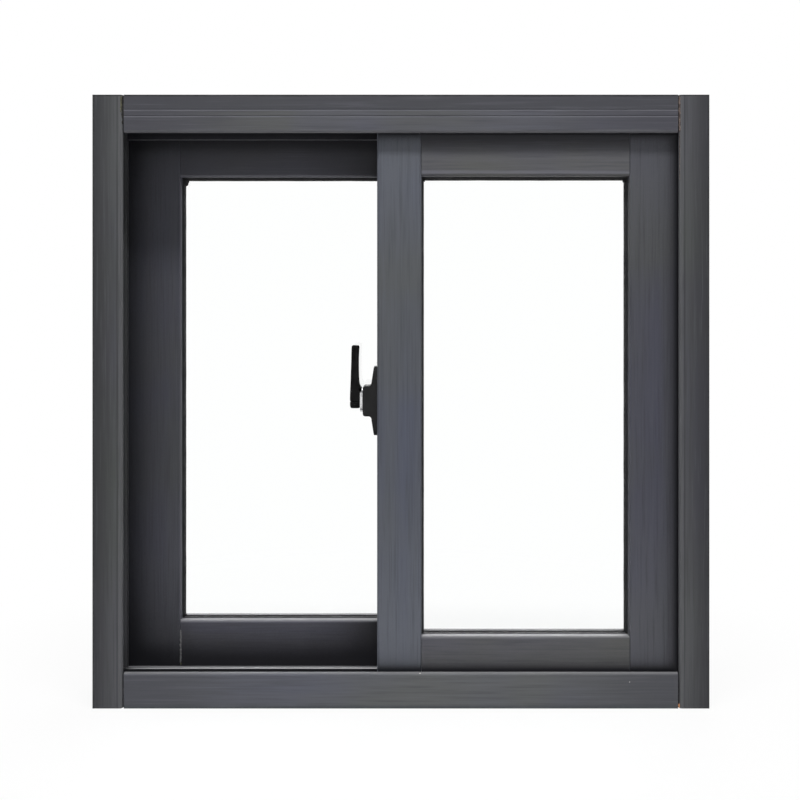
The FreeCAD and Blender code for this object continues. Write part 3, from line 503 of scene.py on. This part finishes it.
# Painted highlight along the top rail's rounded lower edge
rail_highlight = Line("Z", top_rail_edge + RAIL_HIGHLIGHT_RISE, half=0.0016, strength=0.55, colour=RAIL_EDGE_HIGHLIGHT)


def lit_heights(tone):
    """Painted light makes the uprights' coat a little lighter towards the sill and the head."""
    lit_tone = shade(tone, END_LIGHT_GAIN)
    foot = Band("Z", *LIT_FOOT, strength=0.7, colour=lit_tone)
    top = Band("Z", *LIT_TOP, strength=0.45, colour=lit_tone)
    return foot, top


def shaded_ends(tone):
    """Painted shade makes the tracks' coat darker towards the jambs."""
    return Band("X", *SHADED_ENDS, strength=0.85, colour=shade(tone, END_SHADE_FACTOR))


def jamb_finish():
    """Painted shade darker towards the outer edge, with a painted highlight on the lip and a groove of painted
    shade beside the opening.
    """
    bands = (
        *lit_heights(SHADED_JAMB_TONES[0]),
        # Painted shade towards the outer edge, and a painted highlight on the lip
        Band("X", jamb_edge, frame_side, strength=0.75, colour=JAMB_SHADE),
        edge_band("X", jamb_edge, JAMB_HIGHLIGHT_SIDE, strength=0.6, colour=JAMB_EDGE_HIGHLIGHT),
        shaded_side_edge,
        shaded_top_edge,
    )
    # A groove's painted shade
    groove = Line("X", jamb_edge + JAMB_GROOVE, half=0.0006, strength=0.5, colour=JAMB_SHADE)
    return profile_paint("charcoal_jamb", "Z", SHADED_JAMB_TONES, bands, (groove,), reach=None)


def head_finish():
    """Painted shade on the upper part above two painted highlight lines, and a painted highlight on the lower
    edge.
    """
    bands = (
        shaded_ends(HEAD_TONES[0]),
        edge_band("Z", frame_top, UPPER_SHADE_FOOT, strength=0.85, colour=HEAD_UPPER_SHADE),
        edge_band("Z", head_edge, HEAD_HIGHLIGHT_TOP, strength=0.75, colour=HEAD_EDGE_HIGHLIGHT),
        shaded_top_edge,
    )
    first = frame_top - FIRST_GROOVE
    heights = (first, first - GROOVE_STEP)
    lines = [Line("Z", height, half=0.0008, strength=0.7, colour=HEAD_GROOVE_HIGHLIGHT) for height in heights]
    return profile_paint("charcoal_head", "X", HEAD_TONES, bands, lines)


def sill_finish():
    """Darker along its foot, with its two rails worn bare."""
    bands = (shaded_ends(SILL_TONES[0]), Band("Z", *SILL_FOOT, strength=0.7, colour=SILL_FOOT_DARK))
    return profile_paint("charcoal_sill", "X", SILL_TONES, bands, worn_rails=True)


def upright_finish(name, tones, **corner_shading):
    """A stile, with painted light that makes it lighter towards its ends."""
    return profile_paint(name, "Z", tones, lit_heights(tones[0]), **corner_shading)


def rail_finish(name, band, **corner_shading):
    """A rail across a sash, with a painted highlight line over the pane and one band of painted shade."""
    return profile_paint(name, "X", RAIL_TONES, (band,), (rail_highlight,), **corner_shading)


finishes = {
    "jamb": jamb_finish(),
    "head": head_finish(),
    "sill": sill_finish(),
    "hook_stile": upright_finish("charcoal_hook_stile", STILE_TONES),
    # The side stile in painted shade near the jamb
    "side_stile": upright_finish("charcoal_side_stile_shaded", SHADED_STILE_TONES),
    "rail": rail_finish("charcoal_rail", head_shadow),
    # The rear sash in painted shade: darker tones and stronger painted corner shade
    "inner_stile": upright_finish("charcoal_inner_stile_shaded", SHADED_STILE_TONES, reach=0.15, closed_at=0.38),
    "inner_rail": rail_finish("charcoal_inner_rail", shaded_top_rail, reach=0.08, closed_at=0.5),
    "black_rubber": rubber_finish(),
    "grey_pile": pile_finish(),
    "foam": foam_finish(),
    "black_nylon": nylon_finish("black_nylon", (0.012, 0.012, 0.012), (0.022, 0.022, 0.022), 0.45),
    "carriage_nylon": nylon_finish("carriage_nylon", (0.20, 0.20, 0.19), (0.28, 0.28, 0.27), 0.5),
    "wheel_nylon": nylon_finish("wheel_nylon", (0.55, 0.54, 0.49), (0.68, 0.67, 0.62), 0.4),
    "lock_black": lock_black_finish(),
    "lock_steel": steel_finish(),
    "clear_glass": glass_finish(),
    "olive_sealant": sealant_finish("olive_sealant", (0.040, 0.040, 0.028), (0.105, 0.102, 0.070)),
    "brown_sealant": sealant_finish("brown_sealant", (0.030, 0.022, 0.020), (0.150, 0.118, 0.105)),
    "dark_sealant": sealant_finish("dark_sealant", (0.006, 0.006, 0.006), (0.02, 0.019, 0.017)),
    "grey_sealant": sealant_finish("grey_sealant", (0.07, 0.07, 0.072), (0.16, 0.16, 0.165)),
    "chip": sealant_finish("paint_chip", (0.34, 0.33, 0.31), (0.62, 0.61, 0.58)),
    "orange_dab": sealant_finish("orange_dab", (0.30, 0.10, 0.03), (0.62, 0.36, 0.20)),
}
FRAME_FINISH = {"left_jamb": "jamb", "right_jamb": "jamb", "head_track": "head", "sill_track": "sill"}

slot_of_node = {row["node"]: row["material_slot"] for row in frame["record"]["subparts"]}


def finish_of(name):
    """The finish of a node: the frame's and the sashes' by what they are, the others' by their slot."""
    if name in FRAME_FINISH:
        return finishes[FRAME_FINISH[name]]
    slot = slot_of_node[name]
    if slot != "sash_paint":
        return finishes[slot]
    inner = name.startswith("rear")
    if name.endswith("_rail"):
        return finishes["inner_rail" if inner else "rail"]
    if inner:
        return finishes["inner_stile"]
    return finishes["side_stile" if "side" in name else "hook_stile"]


for name, node in nodes.items():
    if not node.material_slots:
        node.data.materials.append(finish_of(name))
    for material_slot in node.material_slots:
        material_slot.material = finish_of(name)


# Building pieces, in millimetres until their points are made
SHARP_DEGREES = 42


def piece_from(name, mesh_data, finish, body="window", replaced=()):
    """Put a finished mesh in the scene as a piece of the object."""
    mesh = bpy.data.meshes.new(name)
    mesh_data.to_mesh(mesh)
    mesh_data.free()
    for polygon in mesh.polygons:
        polygon.use_smooth = True
    mesh.set_sharp_from_angle(angle=math.radians(SHARP_DEGREES))
    mesh.materials.append(finishes[finish])
    piece = bpy.data.objects.new(name, mesh)
    bpy.context.scene.collection.objects.link(piece)
    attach(piece, body)
    if replaced:
        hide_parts(*replaced)
    return piece


def add_rings(mesh_data, rings, closed=False):
    """Join rings of points, all of one count, into a skin that is capped at its ends or goes round."""
    made = [[mesh_data.verts.new(point) for point in ring] for ring in rings]
    count = len(made[0])
    following = made[1:] + made[:1] if closed else made[1:]
    for low, high in zip(made, following):
        for index in range(count):
            after = (index + 1) % count
            mesh_data.faces.new((low[index], low[after], high[after], high[index]))
    if not closed:
        mesh_data.faces.new(list(reversed(made[0])))
        mesh_data.faces.new(made[-1])
    bmesh.ops.recalc_face_normals(mesh_data, faces=mesh_data.faces)


def smooth_between(rows, steps):
    """Catmull-Rom through the rows, with so many steps from each row to the next."""
    made = []
    padded = [rows[0], *rows, rows[-1]]
    for index in range(len(rows) - 1):
        before, first, second, after = padded[index:index + 4]
        for step in range(steps):
            t = step / steps
            made.append([
                0.5 * (2 * b + (c - a) * t + (2 * a - 5 * b + 4 * c - d) * t * t
                       + (3 * b - a - 3 * c + d) * t ** 3)
                for a, b, c, d in zip(before, first, second, after)
            ])
    made.append(list(rows[-1]))
    return made


def soft_box_ring(x_low, x_high, y_low, y_high, z, radius, steps=7):
    """A level rectangle with round corners, as a ring of points in metres."""
    ring = []
    corners = (
        (x_high - radius, y_high - radius, 0), (x_low + radius, y_high - radius, 90),
        (x_low + radius, y_low + radius, 180), (x_high - radius, y_low + radius, 270),
    )
    for x, y, start in corners:
        for step in range(steps + 1):
            turn = math.radians(start + 90 * step / steps)
            ring.append(mm(x + radius * math.cos(turn), y + radius * math.sin(turn), z))
    return ring


# Rubber round the panes
GASKET_LIP = 2.6
SILL_LIP = 0.9
LIP_STEPS = 7
LIP_WAVE = 0.22
WAVES_PER_MM = 0.045
SIDE_SEED = 7.0
GASKET_SPACING = 12.0
CORNER_REACH = 22.0


def pocket_of(sash):
    """How deep a sash's profiles hold its gasket."""
    return box_mm(f"{sash}_bottom_rail")[1].z - box_mm(f"{sash}_gasket")[0].z


def make_gasket(sash, seed):
    """A channel of rubber round a pane, with rounded lips that are lower along the bottom rail."""
    low, high = box_mm(f"{sash}_gasket")
    pane_low, pane_high = box_mm(f"{sash}_glass")
    pocket = pocket_of(sash)
    middle = (low.y + high.y) / 2
    half = (high.y - low.y) / 2
    pane_half = (pane_high.y - pane_low.y) / 2
    pane_edge = pane_low.x - low.x

    def outline(lip, shift=0.0):
        """The channel's section, as inward and across from the middle of its back."""
        near = [(0.0, -half)]
        for step in range(LIP_STEPS + 1):
            turn = math.radians(90 * step / LIP_STEPS)
            swell = shift * math.sin(turn)
            inward = pocket + (lip + swell) * math.sin(turn)
            near.append((inward, -half + (half - pane_half) * (1 - math.cos(turn))))
        near.append((pane_edge, -pane_half))
        return near + [(inward, -across) for inward, across in reversed(near)]

    def ring(place):
        return [mm(x, middle + y, z) for x, y, z in place]

    rings = []
    # Of each side: its start, its end, its outer edge, which way is inward, its lip, whether it is level
    sides = (
        (low.x, high.x, low.z, 1, SILL_LIP, True), (low.z, high.z, high.x, -1, GASKET_LIP, False),
        (high.x, low.x, high.z, -1, GASKET_LIP, True), (high.z, low.z, low.x, 1, GASKET_LIP, False),
    )
    for side, (start, end, edge, inward, lip, level) in enumerate(sides):
        _, _, last_edge, last_inward, last_lip, _ = sides[side - 1]
        corner = [(a[0], b[0], a[1]) for a, b in zip(outline(last_lip), outline(lip))]
        if level:
            rings.append(ring([(last_edge + last_inward * u, v, edge + inward * w) for u, w, v in corner]))
        else:
            rings.append(ring([(edge + inward * w, v, last_edge + last_inward * u) for u, w, v in corner]))
        way = 1 if end > start else -1
        run = abs(end - start) - 2 * CORNER_REACH
        count = int(run / GASKET_SPACING)
        for index in range(count + 1):
            along = start + way * (CORNER_REACH + run * index / count)
            wave = LIP_WAVE * noise.noise(Vector((along * WAVES_PER_MM, seed, side * SIDE_SEED)))
            points = outline(lip, wave)
            if level:
                rings.append(ring([(along, v, edge + inward * u) for u, v in points]))
            else:
                rings.append(ring([(edge + inward * u, v, along) for u, v in points]))
    data = bmesh.new()
    add_rings(data, rings, closed=True)
    return piece_from(f"{sash}_glazing_rubber", data, "black_rubber",
                      replaced=(f"{sash}_gasket",))


make_gasket("front", seed=3.0)
make_gasket("rear", seed=8.0)


# The lock's lever, about the joint's place on the stile's face
LOCK_FACE_X, AXIS_Y, AXIS_Z = (length / MM for length in frame["joints"][0]["pos_m"])
LEVER_STEPS = 5
# Height over the axis, inner and outer faces out from the stile, half the width, rounding of the edges
LEVER_ROWS = (
    (-7.7, 18.6, 25.2, 2.6, 1.2),
    (-7.3, 17.6, 26.2, 4.2, 1.6),
    (-6.0, 17.0, 26.7, 5.7, 1.8),
    (-4.2, 16.95, 26.95, 6.6, 1.8),
    (-2.2, 16.95, 26.9, 7.0, 1.8),
    (-1.3, 16.95, 26.9, 7.0, 1.8),
    (-0.6, 17.6, 26.0, 6.1, 1.8),
    (0.1, 16.95, 26.9, 7.0, 1.8),
    (4.0, 16.95, 27.0, 7.0, 2.0),
    (11.2, 16.95, 26.75, 6.9, 2.2),
    (12.1, 15.6, 26.7, 6.8, 2.0),
    (13.2, 15.7, 26.7, 6.8, 2.2),
    (15.0, 16.9, 26.6, 6.7, 2.4),
    (18.0, 17.75, 26.5, 6.5, 2.6),
    (25.0, 18.2, 26.3, 6.1, 2.8),
    (38.0, 18.35, 25.9, 5.6, 2.8),
    (48.0, 18.1, 25.7, 5.3, 2.8),
    (52.2, 17.8, 25.55, 5.2, 2.6),
    (54.0, 18.1, 25.2, 4.7, 2.2),
    (54.8, 19.0, 24.3, 3.7, 1.6),
)


def make_lever():
    """The handle as one casting: a rounded hub with a groove and a collar, and an arm that narrows."""
    data = bmesh.new()
    rings = []
    for height, inner, outer, half, radius in smooth_between(LEVER_ROWS, LEVER_STEPS):
        rings.append(soft_box_ring(LOCK_FACE_X - outer, LOCK_FACE_X - inner,
                                   AXIS_Y - half, AXIS_Y + half, AXIS_Z + height, radius))
    add_rings(data, rings)
    return piece_from("lever_handle", data, "lock_black", "lever", ("lock_lever",))


make_lever()


# Screws with a cross recess
SCREW_RINGS = 26
SCREW_SPOKES = 72
RECESS_REACH = 0.56
RECESS_HALF = 0.11
RECESS_DEPTH = 0.6
DOME_FALL = 0.82
FIRST_TURN = 0.4
NEXT_TURN = 0.7


def make_screw_heads(name, places, radius, height, replaced=()):
    """Domed heads that look along -X, each at the middle of its underside, turned unlike each other."""
    data = bmesh.new()
    recess = radius * RECESS_REACH
    slot_half = radius * RECESS_HALF
    for screw, (x, y, z) in enumerate(places):
        tilt = FIRST_TURN + NEXT_TURN * screw
        turns = [2 * math.pi * spoke / SCREW_SPOKES for spoke in range(SCREW_SPOKES)]
        rings = [[data.verts.new(mm(x, y + radius * math.cos(turn), z + radius * math.sin(turn)))
                  for turn in turns]]
        for ring_index in range(SCREW_RINGS):
            share = 1.0 - ring_index / SCREW_RINGS
            ring = []
            for turn in turns:
                across = radius * share * math.cos(turn + tilt)
                along = radius * share * math.sin(turn + tilt)
                rise = height * math.sqrt(max(0.0, 1.0 - DOME_FALL * share ** 4))
                in_cross = min(abs(across), abs(along)) < slot_half and share * radius < recess
                rise -= height * RECESS_DEPTH if in_cross else 0.0
                ring.append(data.verts.new(mm(x - rise, y + radius * share * math.cos(turn),
                                              z + radius * share * math.sin(turn))))
            rings.append(ring)
        for outside, inside in zip(rings, rings[1:]):
            for spoke in range(SCREW_SPOKES):
                after = (spoke + 1) % SCREW_SPOKES
                data.faces.new((outside[spoke], outside[after], inside[after], inside[spoke]))
        data.faces.new(rings[-1])
        data.faces.new(list(reversed(rings[0])))
    bmesh.ops.recalc_face_normals(data, faces=data.faces)
    return piece_from(name, data, "lock_steel", replaced=replaced)


SCREW_PLACE = 25.0
SCREW_SEAT = 2.6
KEEPER_FACE_X = -21.8
KEEPER_SCREW_Y = 8.3
KEEPER_SCREW_PLACE = 5.2
base_screws = [(LOCK_FACE_X - SCREW_SEAT, AXIS_Y, AXIS_Z + way * SCREW_PLACE) for way in (1, -1)]
keeper_screws = [(KEEPER_FACE_X, KEEPER_SCREW_Y, AXIS_Z + way * KEEPER_SCREW_PLACE) for way in (1, -1)]
make_screw_heads("lock_screw_heads", base_screws, radius=3.5, height=1.7, replaced=("lock_screws",))
make_screw_heads("keeper_screw_heads", keeper_screws, radius=2.3, height=1.1)


# Sealant, drops and chips
BEAD_STEP = 0.7
BEAD_SPOKES = 12
BEAD_LUMPY = 0.5
BEAD_TAPER = 4.0
BEAD_TIP = 0.15
BEAD_BENDS = 0.35
BEAD_SWELLS = 0.6
SWELL_SEED = 5.0
BLOB_LUMPY = 0.25
BLOB_LUMPS = 1.7


def make_bead(name, finish, start, end, radius, flat, seed):
    """An uneven bead between two points in millimetres, thin at its ends."""
    start = Vector(start)
    end = Vector(end)
    length = (end - start).length
    count = max(8, int(length / BEAD_STEP))
    run = (end - start).normalized()
    side = run.cross(Vector((0.0, 1.0, 0.0))).normalized()
    rings = []
    for index in range(count + 1):
        share = index / count
        taper = min(1.0, math.sin(math.pi * share) * BEAD_TAPER + BEAD_TIP)
        bend = noise.noise(Vector((share * length * BEAD_BENDS + seed, seed, 0.0)))
        swell = noise.noise(Vector((share * length * BEAD_SWELLS, seed, SWELL_SEED)))
        centre = start.lerp(end, share) + side * bend * radius * BEAD_LUMPY
        size = radius * taper * (1.0 + BEAD_LUMPY * swell)
        ring = []
        for spoke in range(BEAD_SPOKES):
            turn = 2 * math.pi * spoke / BEAD_SPOKES
            outward = Vector((0.0, flat * size * math.sin(turn), 0.0))
            ring.append((centre + side * size * math.cos(turn) + outward) * MM)
        rings.append(ring)
    data = bmesh.new()
    add_rings(data, rings)
    return piece_from(name, data, finish)


def make_blob(name, finish, centre, sizes, seed, lumpy=BLOB_LUMPY):
    """A small uneven drop, its sizes half its width, depth and height in millimetres."""
    data = bmesh.new()
    bmesh.ops.create_icosphere(data, subdivisions=3, radius=1.0)
    for vert in data.verts:
        swell = 1.0 + lumpy * noise.noise(vert.co * BLOB_LUMPS + Vector((seed, seed, seed)))
        place = Vector([unit * size for unit, size in zip(vert.co * swell, sizes)]) + Vector(centre)
        vert.co = place * MM
    return piece_from(name, data, finish)


FACE_Y = cad_low.y / MM
TOP_Z = cad_high.z / MM
JAMB_EDGE = jamb_edge / MM
HEAD_FACE_Z = 560.2

# Where the head meets the jambs
make_bead("sealant_top_left", "olive_sealant", radius=0.95, flat=0.8, seed=3.0,
          start=(-JAMB_EDGE - 1.9, FACE_Y + 0.75, 579.5),
          end=(-JAMB_EDGE - 1.5, FACE_Y + 0.6, TOP_Z - 0.8))
make_bead("seam_top_left", "dark_sealant", radius=1.2, flat=0.6, seed=9.0,
          start=(-JAMB_EDGE + 0.3, FACE_Y + 0.9, 573.5),
          end=(-JAMB_EDGE + 0.4, FACE_Y + 0.8, TOP_Z - 0.6))
make_bead("sealant_top_right", "brown_sealant", radius=0.95, flat=0.7, seed=14.0,
          start=(JAMB_EDGE + 0.6, FACE_Y + 0.9, HEAD_FACE_Z),
          end=(JAMB_EDGE + 0.3, FACE_Y + 0.7, TOP_Z - 0.7))
make_bead("seam_top_right", "dark_sealant", radius=0.9, flat=0.6, seed=21.0,
          start=(JAMB_EDGE - 1.4, FACE_Y + 1.1, HEAD_FACE_Z + 2),
          end=(JAMB_EDGE - 1.3, FACE_Y + 1.0, TOP_Z - 0.6))
make_bead("sealant_right_edge", "brown_sealant", radius=0.45, flat=0.6, seed=27.0,
          start=(JAMB_EDGE + 0.9, FACE_Y + 1.05, 512.0),
          end=(JAMB_EDGE + 0.8, FACE_Y + 1.05, HEAD_FACE_Z - 1))
make_blob("sealant_drop_left", "dark_sealant", seed=2.0,
          centre=(-JAMB_EDGE - 0.3, FACE_Y + 1.6, 570.4), sizes=(1.5, 1.0, 1.9))
make_blob("chip_seam_left", "chip", seed=5.0,
          centre=(-JAMB_EDGE - 0.4, FACE_Y + 0.85, 577.2), sizes=(0.6, 0.4, 0.7))

# On the sill
make_blob("chip_sill_face", "chip", seed=8.0,
          centre=(222.3, FACE_Y + 0.16, 25.8), sizes=(0.75, 0.2, 0.6))
make_blob("chip_sill_edge", "chip", seed=11.0,
          centre=(18.6, FACE_Y + 0.95, 33.9), sizes=(0.9, 0.35, 0.4))
make_blob("dab_bottom_right", "orange_dab", seed=13.0,
          centre=(JAMB_EDGE - 0.2, FACE_Y + 0.7, 2.4), sizes=(0.9, 0.5, 2.0))

# In the joint of the rear sash's side stile and bottom rail
REAR_FACE_Y = box_mm("rear_side_stile")[0].y
REAR_SEAM_X = box_mm("rear_side_stile")[1].x
make_bead("sealant_rear_seam", "grey_sealant", radius=0.95, flat=0.5, seed=31.0,
          start=(REAR_SEAM_X, REAR_FACE_Y + 0.25, 27.5),
          end=(REAR_SEAM_X + 0.2, REAR_FACE_Y + 0.25, 63.0))
make_blob("dab_rear_seam", "olive_sealant", seed=17.0,
          centre=(REAR_SEAM_X + 0.3, REAR_FACE_Y + 0.2, 27.6), sizes=(0.8, 0.5, 1.5))


# Rubber pressed up at the glass corners
CORNER_DEPTH = 1.2
CORNER_THICK = 1.4
CORNER_TUCK = 0.3
CORNER_LUMPY = 0.45


def make_gasket_corner(sash, side, level, width, height, seed):
    """A lump in a corner of a sash's gasket, on the room side; side is 1 right, level is 1 top."""
    low, high = box_mm(f"{sash}_gasket")
    pocket = pocket_of(sash)
    x = high.x - pocket if side > 0 else low.x + pocket
    z = high.z - pocket if level > 0 else low.z + pocket
    side_name = "right" if side > 0 else "left"
    level_name = "top" if level > 0 else "bottom"
    centre = (
        x - side * (GASKET_LIP + width * CORNER_TUCK),
        low.y + CORNER_DEPTH,
        z - level * (GASKET_LIP + height * CORNER_TUCK),
    )
    return make_blob(f"gasket_corner_{sash}_{side_name}_{level_name}", "black_rubber",
                     centre, (width, CORNER_THICK, height), seed, CORNER_LUMPY)


make_gasket_corner("rear", -1, 1, width=3.0, height=3.6, seed=41.0)
make_gasket_corner("front", 1, 1, width=1.6, height=1.9, seed=44.0)
make_gasket_corner("rear", -1, -1, width=1.3, height=1.2, seed=47.0)
make_gasket_corner("front", -1, 1, width=1.0, height=1.2, seed=51.0)


# Camera at the photograph's viewing angle
VIEW_DISTANCE = 1.0
EYE_HEIGHT = 0.3934
FOCAL_PIXELS = 1028.3
PICTURE_PIXELS = 800.0
HORIZON_ROW = 304.0
MIDDLE_COLUMN = 400.9
SENSOR_WIDTH = 36.0

camera_data = bpy.data.cameras.new("camera")
camera = bpy.data.objects.new("camera", camera_data)
bpy.context.scene.collection.objects.link(camera)
bpy.context.scene.camera = camera
camera.location = (0.0, cad_low.y - VIEW_DISTANCE, EYE_HEIGHT)
camera.rotation_euler = (math.radians(90.0), 0.0, 0.0)
camera_data.sensor_fit = "HORIZONTAL"
camera_data.sensor_width = SENSOR_WIDTH
camera_data.lens = FOCAL_PIXELS / PICTURE_PIXELS * SENSOR_WIDTH
camera_data.shift_x = (PICTURE_PIXELS / 2 - MIDDLE_COLUMN) / PICTURE_PIXELS
camera_data.shift_y = (HORIZON_ROW - PICTURE_PIXELS / 2) / PICTURE_PIXELS
camera_data.clip_start = 0.01
camera_data.clip_end = 100.0


# Studio
WORLD_STRENGTH = 0.1
FLOOR_HALF = 6.0
FLOOR_DROP = 0.0006
FLOOR_COLOUR = (0.62, 0.62, 0.62, 1.0)
WHITE = (1.0, 1.0, 1.0, 1.0)
SHADOW_NEAR = 0.25
SHADOW_FAR = 0.6
WHITE_SHARE_NEAR = 0.9


def seen_directly(tree):
    """1 for camera, glossy and transmission rays, and 0 for the light that falls on things."""
    path = tree.nodes.new("ShaderNodeLightPath")
    seen = path.outputs["Is Camera Ray"]
    for ray in ("Is Glossy Ray", "Is Transmission Ray"):
        either = tree.nodes.new("ShaderNodeMath")
        either.operation = "MAXIMUM"
        tree.links.new(seen, either.inputs[0])
        tree.links.new(path.outputs[ray], either.inputs[1])
        seen = either.outputs[0]
    return seen


def make_world():
    """Faint even light on the object, and white wherever the background is seen."""
    world = bpy.data.worlds.new("studio")
    bpy.context.scene.world = world
    world.use_nodes = True
    tree = world.node_tree
    tree.nodes.clear()
    output = tree.nodes.new("ShaderNodeOutputWorld")
    both = tree.nodes.new("ShaderNodeMixShader")
    tree.links.new(seen_directly(tree), both.inputs[0])
    for index, level in ((1, WORLD_STRENGTH), (2, 1.0)):
        light = tree.nodes.new("ShaderNodeBackground")
        light.inputs["Color"].default_value = WHITE
        light.inputs["Strength"].default_value = level
        tree.links.new(light.outputs[0], both.inputs[index])
    tree.links.new(both.outputs[0], output.inputs["Surface"])


def floor_material():
    """Pale near the object, where its shadow shows, and as white as the background further out."""
    material = bpy.data.materials.new("pale_floor")
    material.use_nodes = True
    tree = material.node_tree
    tree.nodes.clear()
    output = tree.nodes.new("ShaderNodeOutputMaterial")
    diffuse = tree.nodes.new("ShaderNodeBsdfDiffuse")
    diffuse.inputs["Color"].default_value = FLOOR_COLOUR
    glow = tree.nodes.new("ShaderNodeEmission")
    glow.inputs["Strength"].default_value = 1.0
    geometry = tree.nodes.new("ShaderNodeNewGeometry")
    distance = tree.nodes.new("ShaderNodeVectorMath")
    distance.operation = "LENGTH"
    tree.links.new(geometry.outputs["Position"], distance.inputs[0])
    share = tree.nodes.new("ShaderNodeMapRange")
    share.interpolation_type = "SMOOTHSTEP"
    share.inputs["From Min"].default_value = SHADOW_NEAR
    share.inputs["From Max"].default_value = SHADOW_FAR
    share.inputs["To Min"].default_value = WHITE_SHARE_NEAR
    share.inputs["To Max"].default_value = 1.0
    tree.links.new(distance.outputs["Value"], share.inputs["Value"])
    white = tree.nodes.new("ShaderNodeMath")
    white.operation = "MULTIPLY"
    tree.links.new(seen_directly(tree), white.inputs[0])
    tree.links.new(share.outputs[0], white.inputs[1])
    both = tree.nodes.new("ShaderNodeMixShader")
    tree.links.new(white.outputs[0], both.inputs[0])
    tree.links.new(diffuse.outputs[0], both.inputs[1])
    tree.links.new(glow.outputs[0], both.inputs[2])
    tree.links.new(both.outputs[0], output.inputs["Surface"])
    return material


def make_floor():
    """A floor just under the object, large enough to run out of every view."""
    mesh = bpy.data.meshes.new("floor")
    corners = [(x * FLOOR_HALF, y * FLOOR_HALF, 0) for x, y in ((-1, -1), (1, -1), (1, 1), (-1, 1))]
    mesh.from_pydata(corners, [], [(0, 1, 2, 3)])
    mesh.materials.append(floor_material())
    floor = bpy.data.objects.new("floor", mesh)
    bpy.context.scene.collection.objects.link(floor)
    floor.location.z = -FLOOR_DROP


make_world()
make_floor()

LAMPS_AIM = (0.0, 0.0, 0.3)
# Name, place, width and length, watts: the narrow lamp overhead gives the head's shadow on the sashes
LAMPS = (
    ("overhead", (0.0, -0.75, 2.5), (1.6, 0.22), 74.0),
    ("front", (0.0, -2.6, 1.25), (0.9, 0.5), 15.0),
    ("left", (-2.1, -1.0, 0.5), (0.7, 1.0), 8.0),
    ("right", (2.1, -1.0, 0.5), (0.7, 1.0), 8.0),
    ("behind", (0.6, 2.0, 1.6), (1.5, 1.2), 34.0),
)

for name, place, (width, length), watts in LAMPS:
    lamp_data = bpy.data.lights.new(name, "AREA")
    lamp_data.shape = "RECTANGLE"
    lamp_data.size = width
    lamp_data.size_y = length
    lamp_data.energy = watts
    lamp = bpy.data.objects.new(name, lamp_data)
    bpy.context.scene.collection.objects.link(lamp)
    lamp.location = place
    lamp.rotation_euler = (Vector(LAMPS_AIM) - Vector(place)).to_track_quat("-Z", "Y").to_euler()
    lamp.visible_camera = False
    lamp.visible_glossy = False

bpy.context.scene.view_settings.view_transform = "Standard"
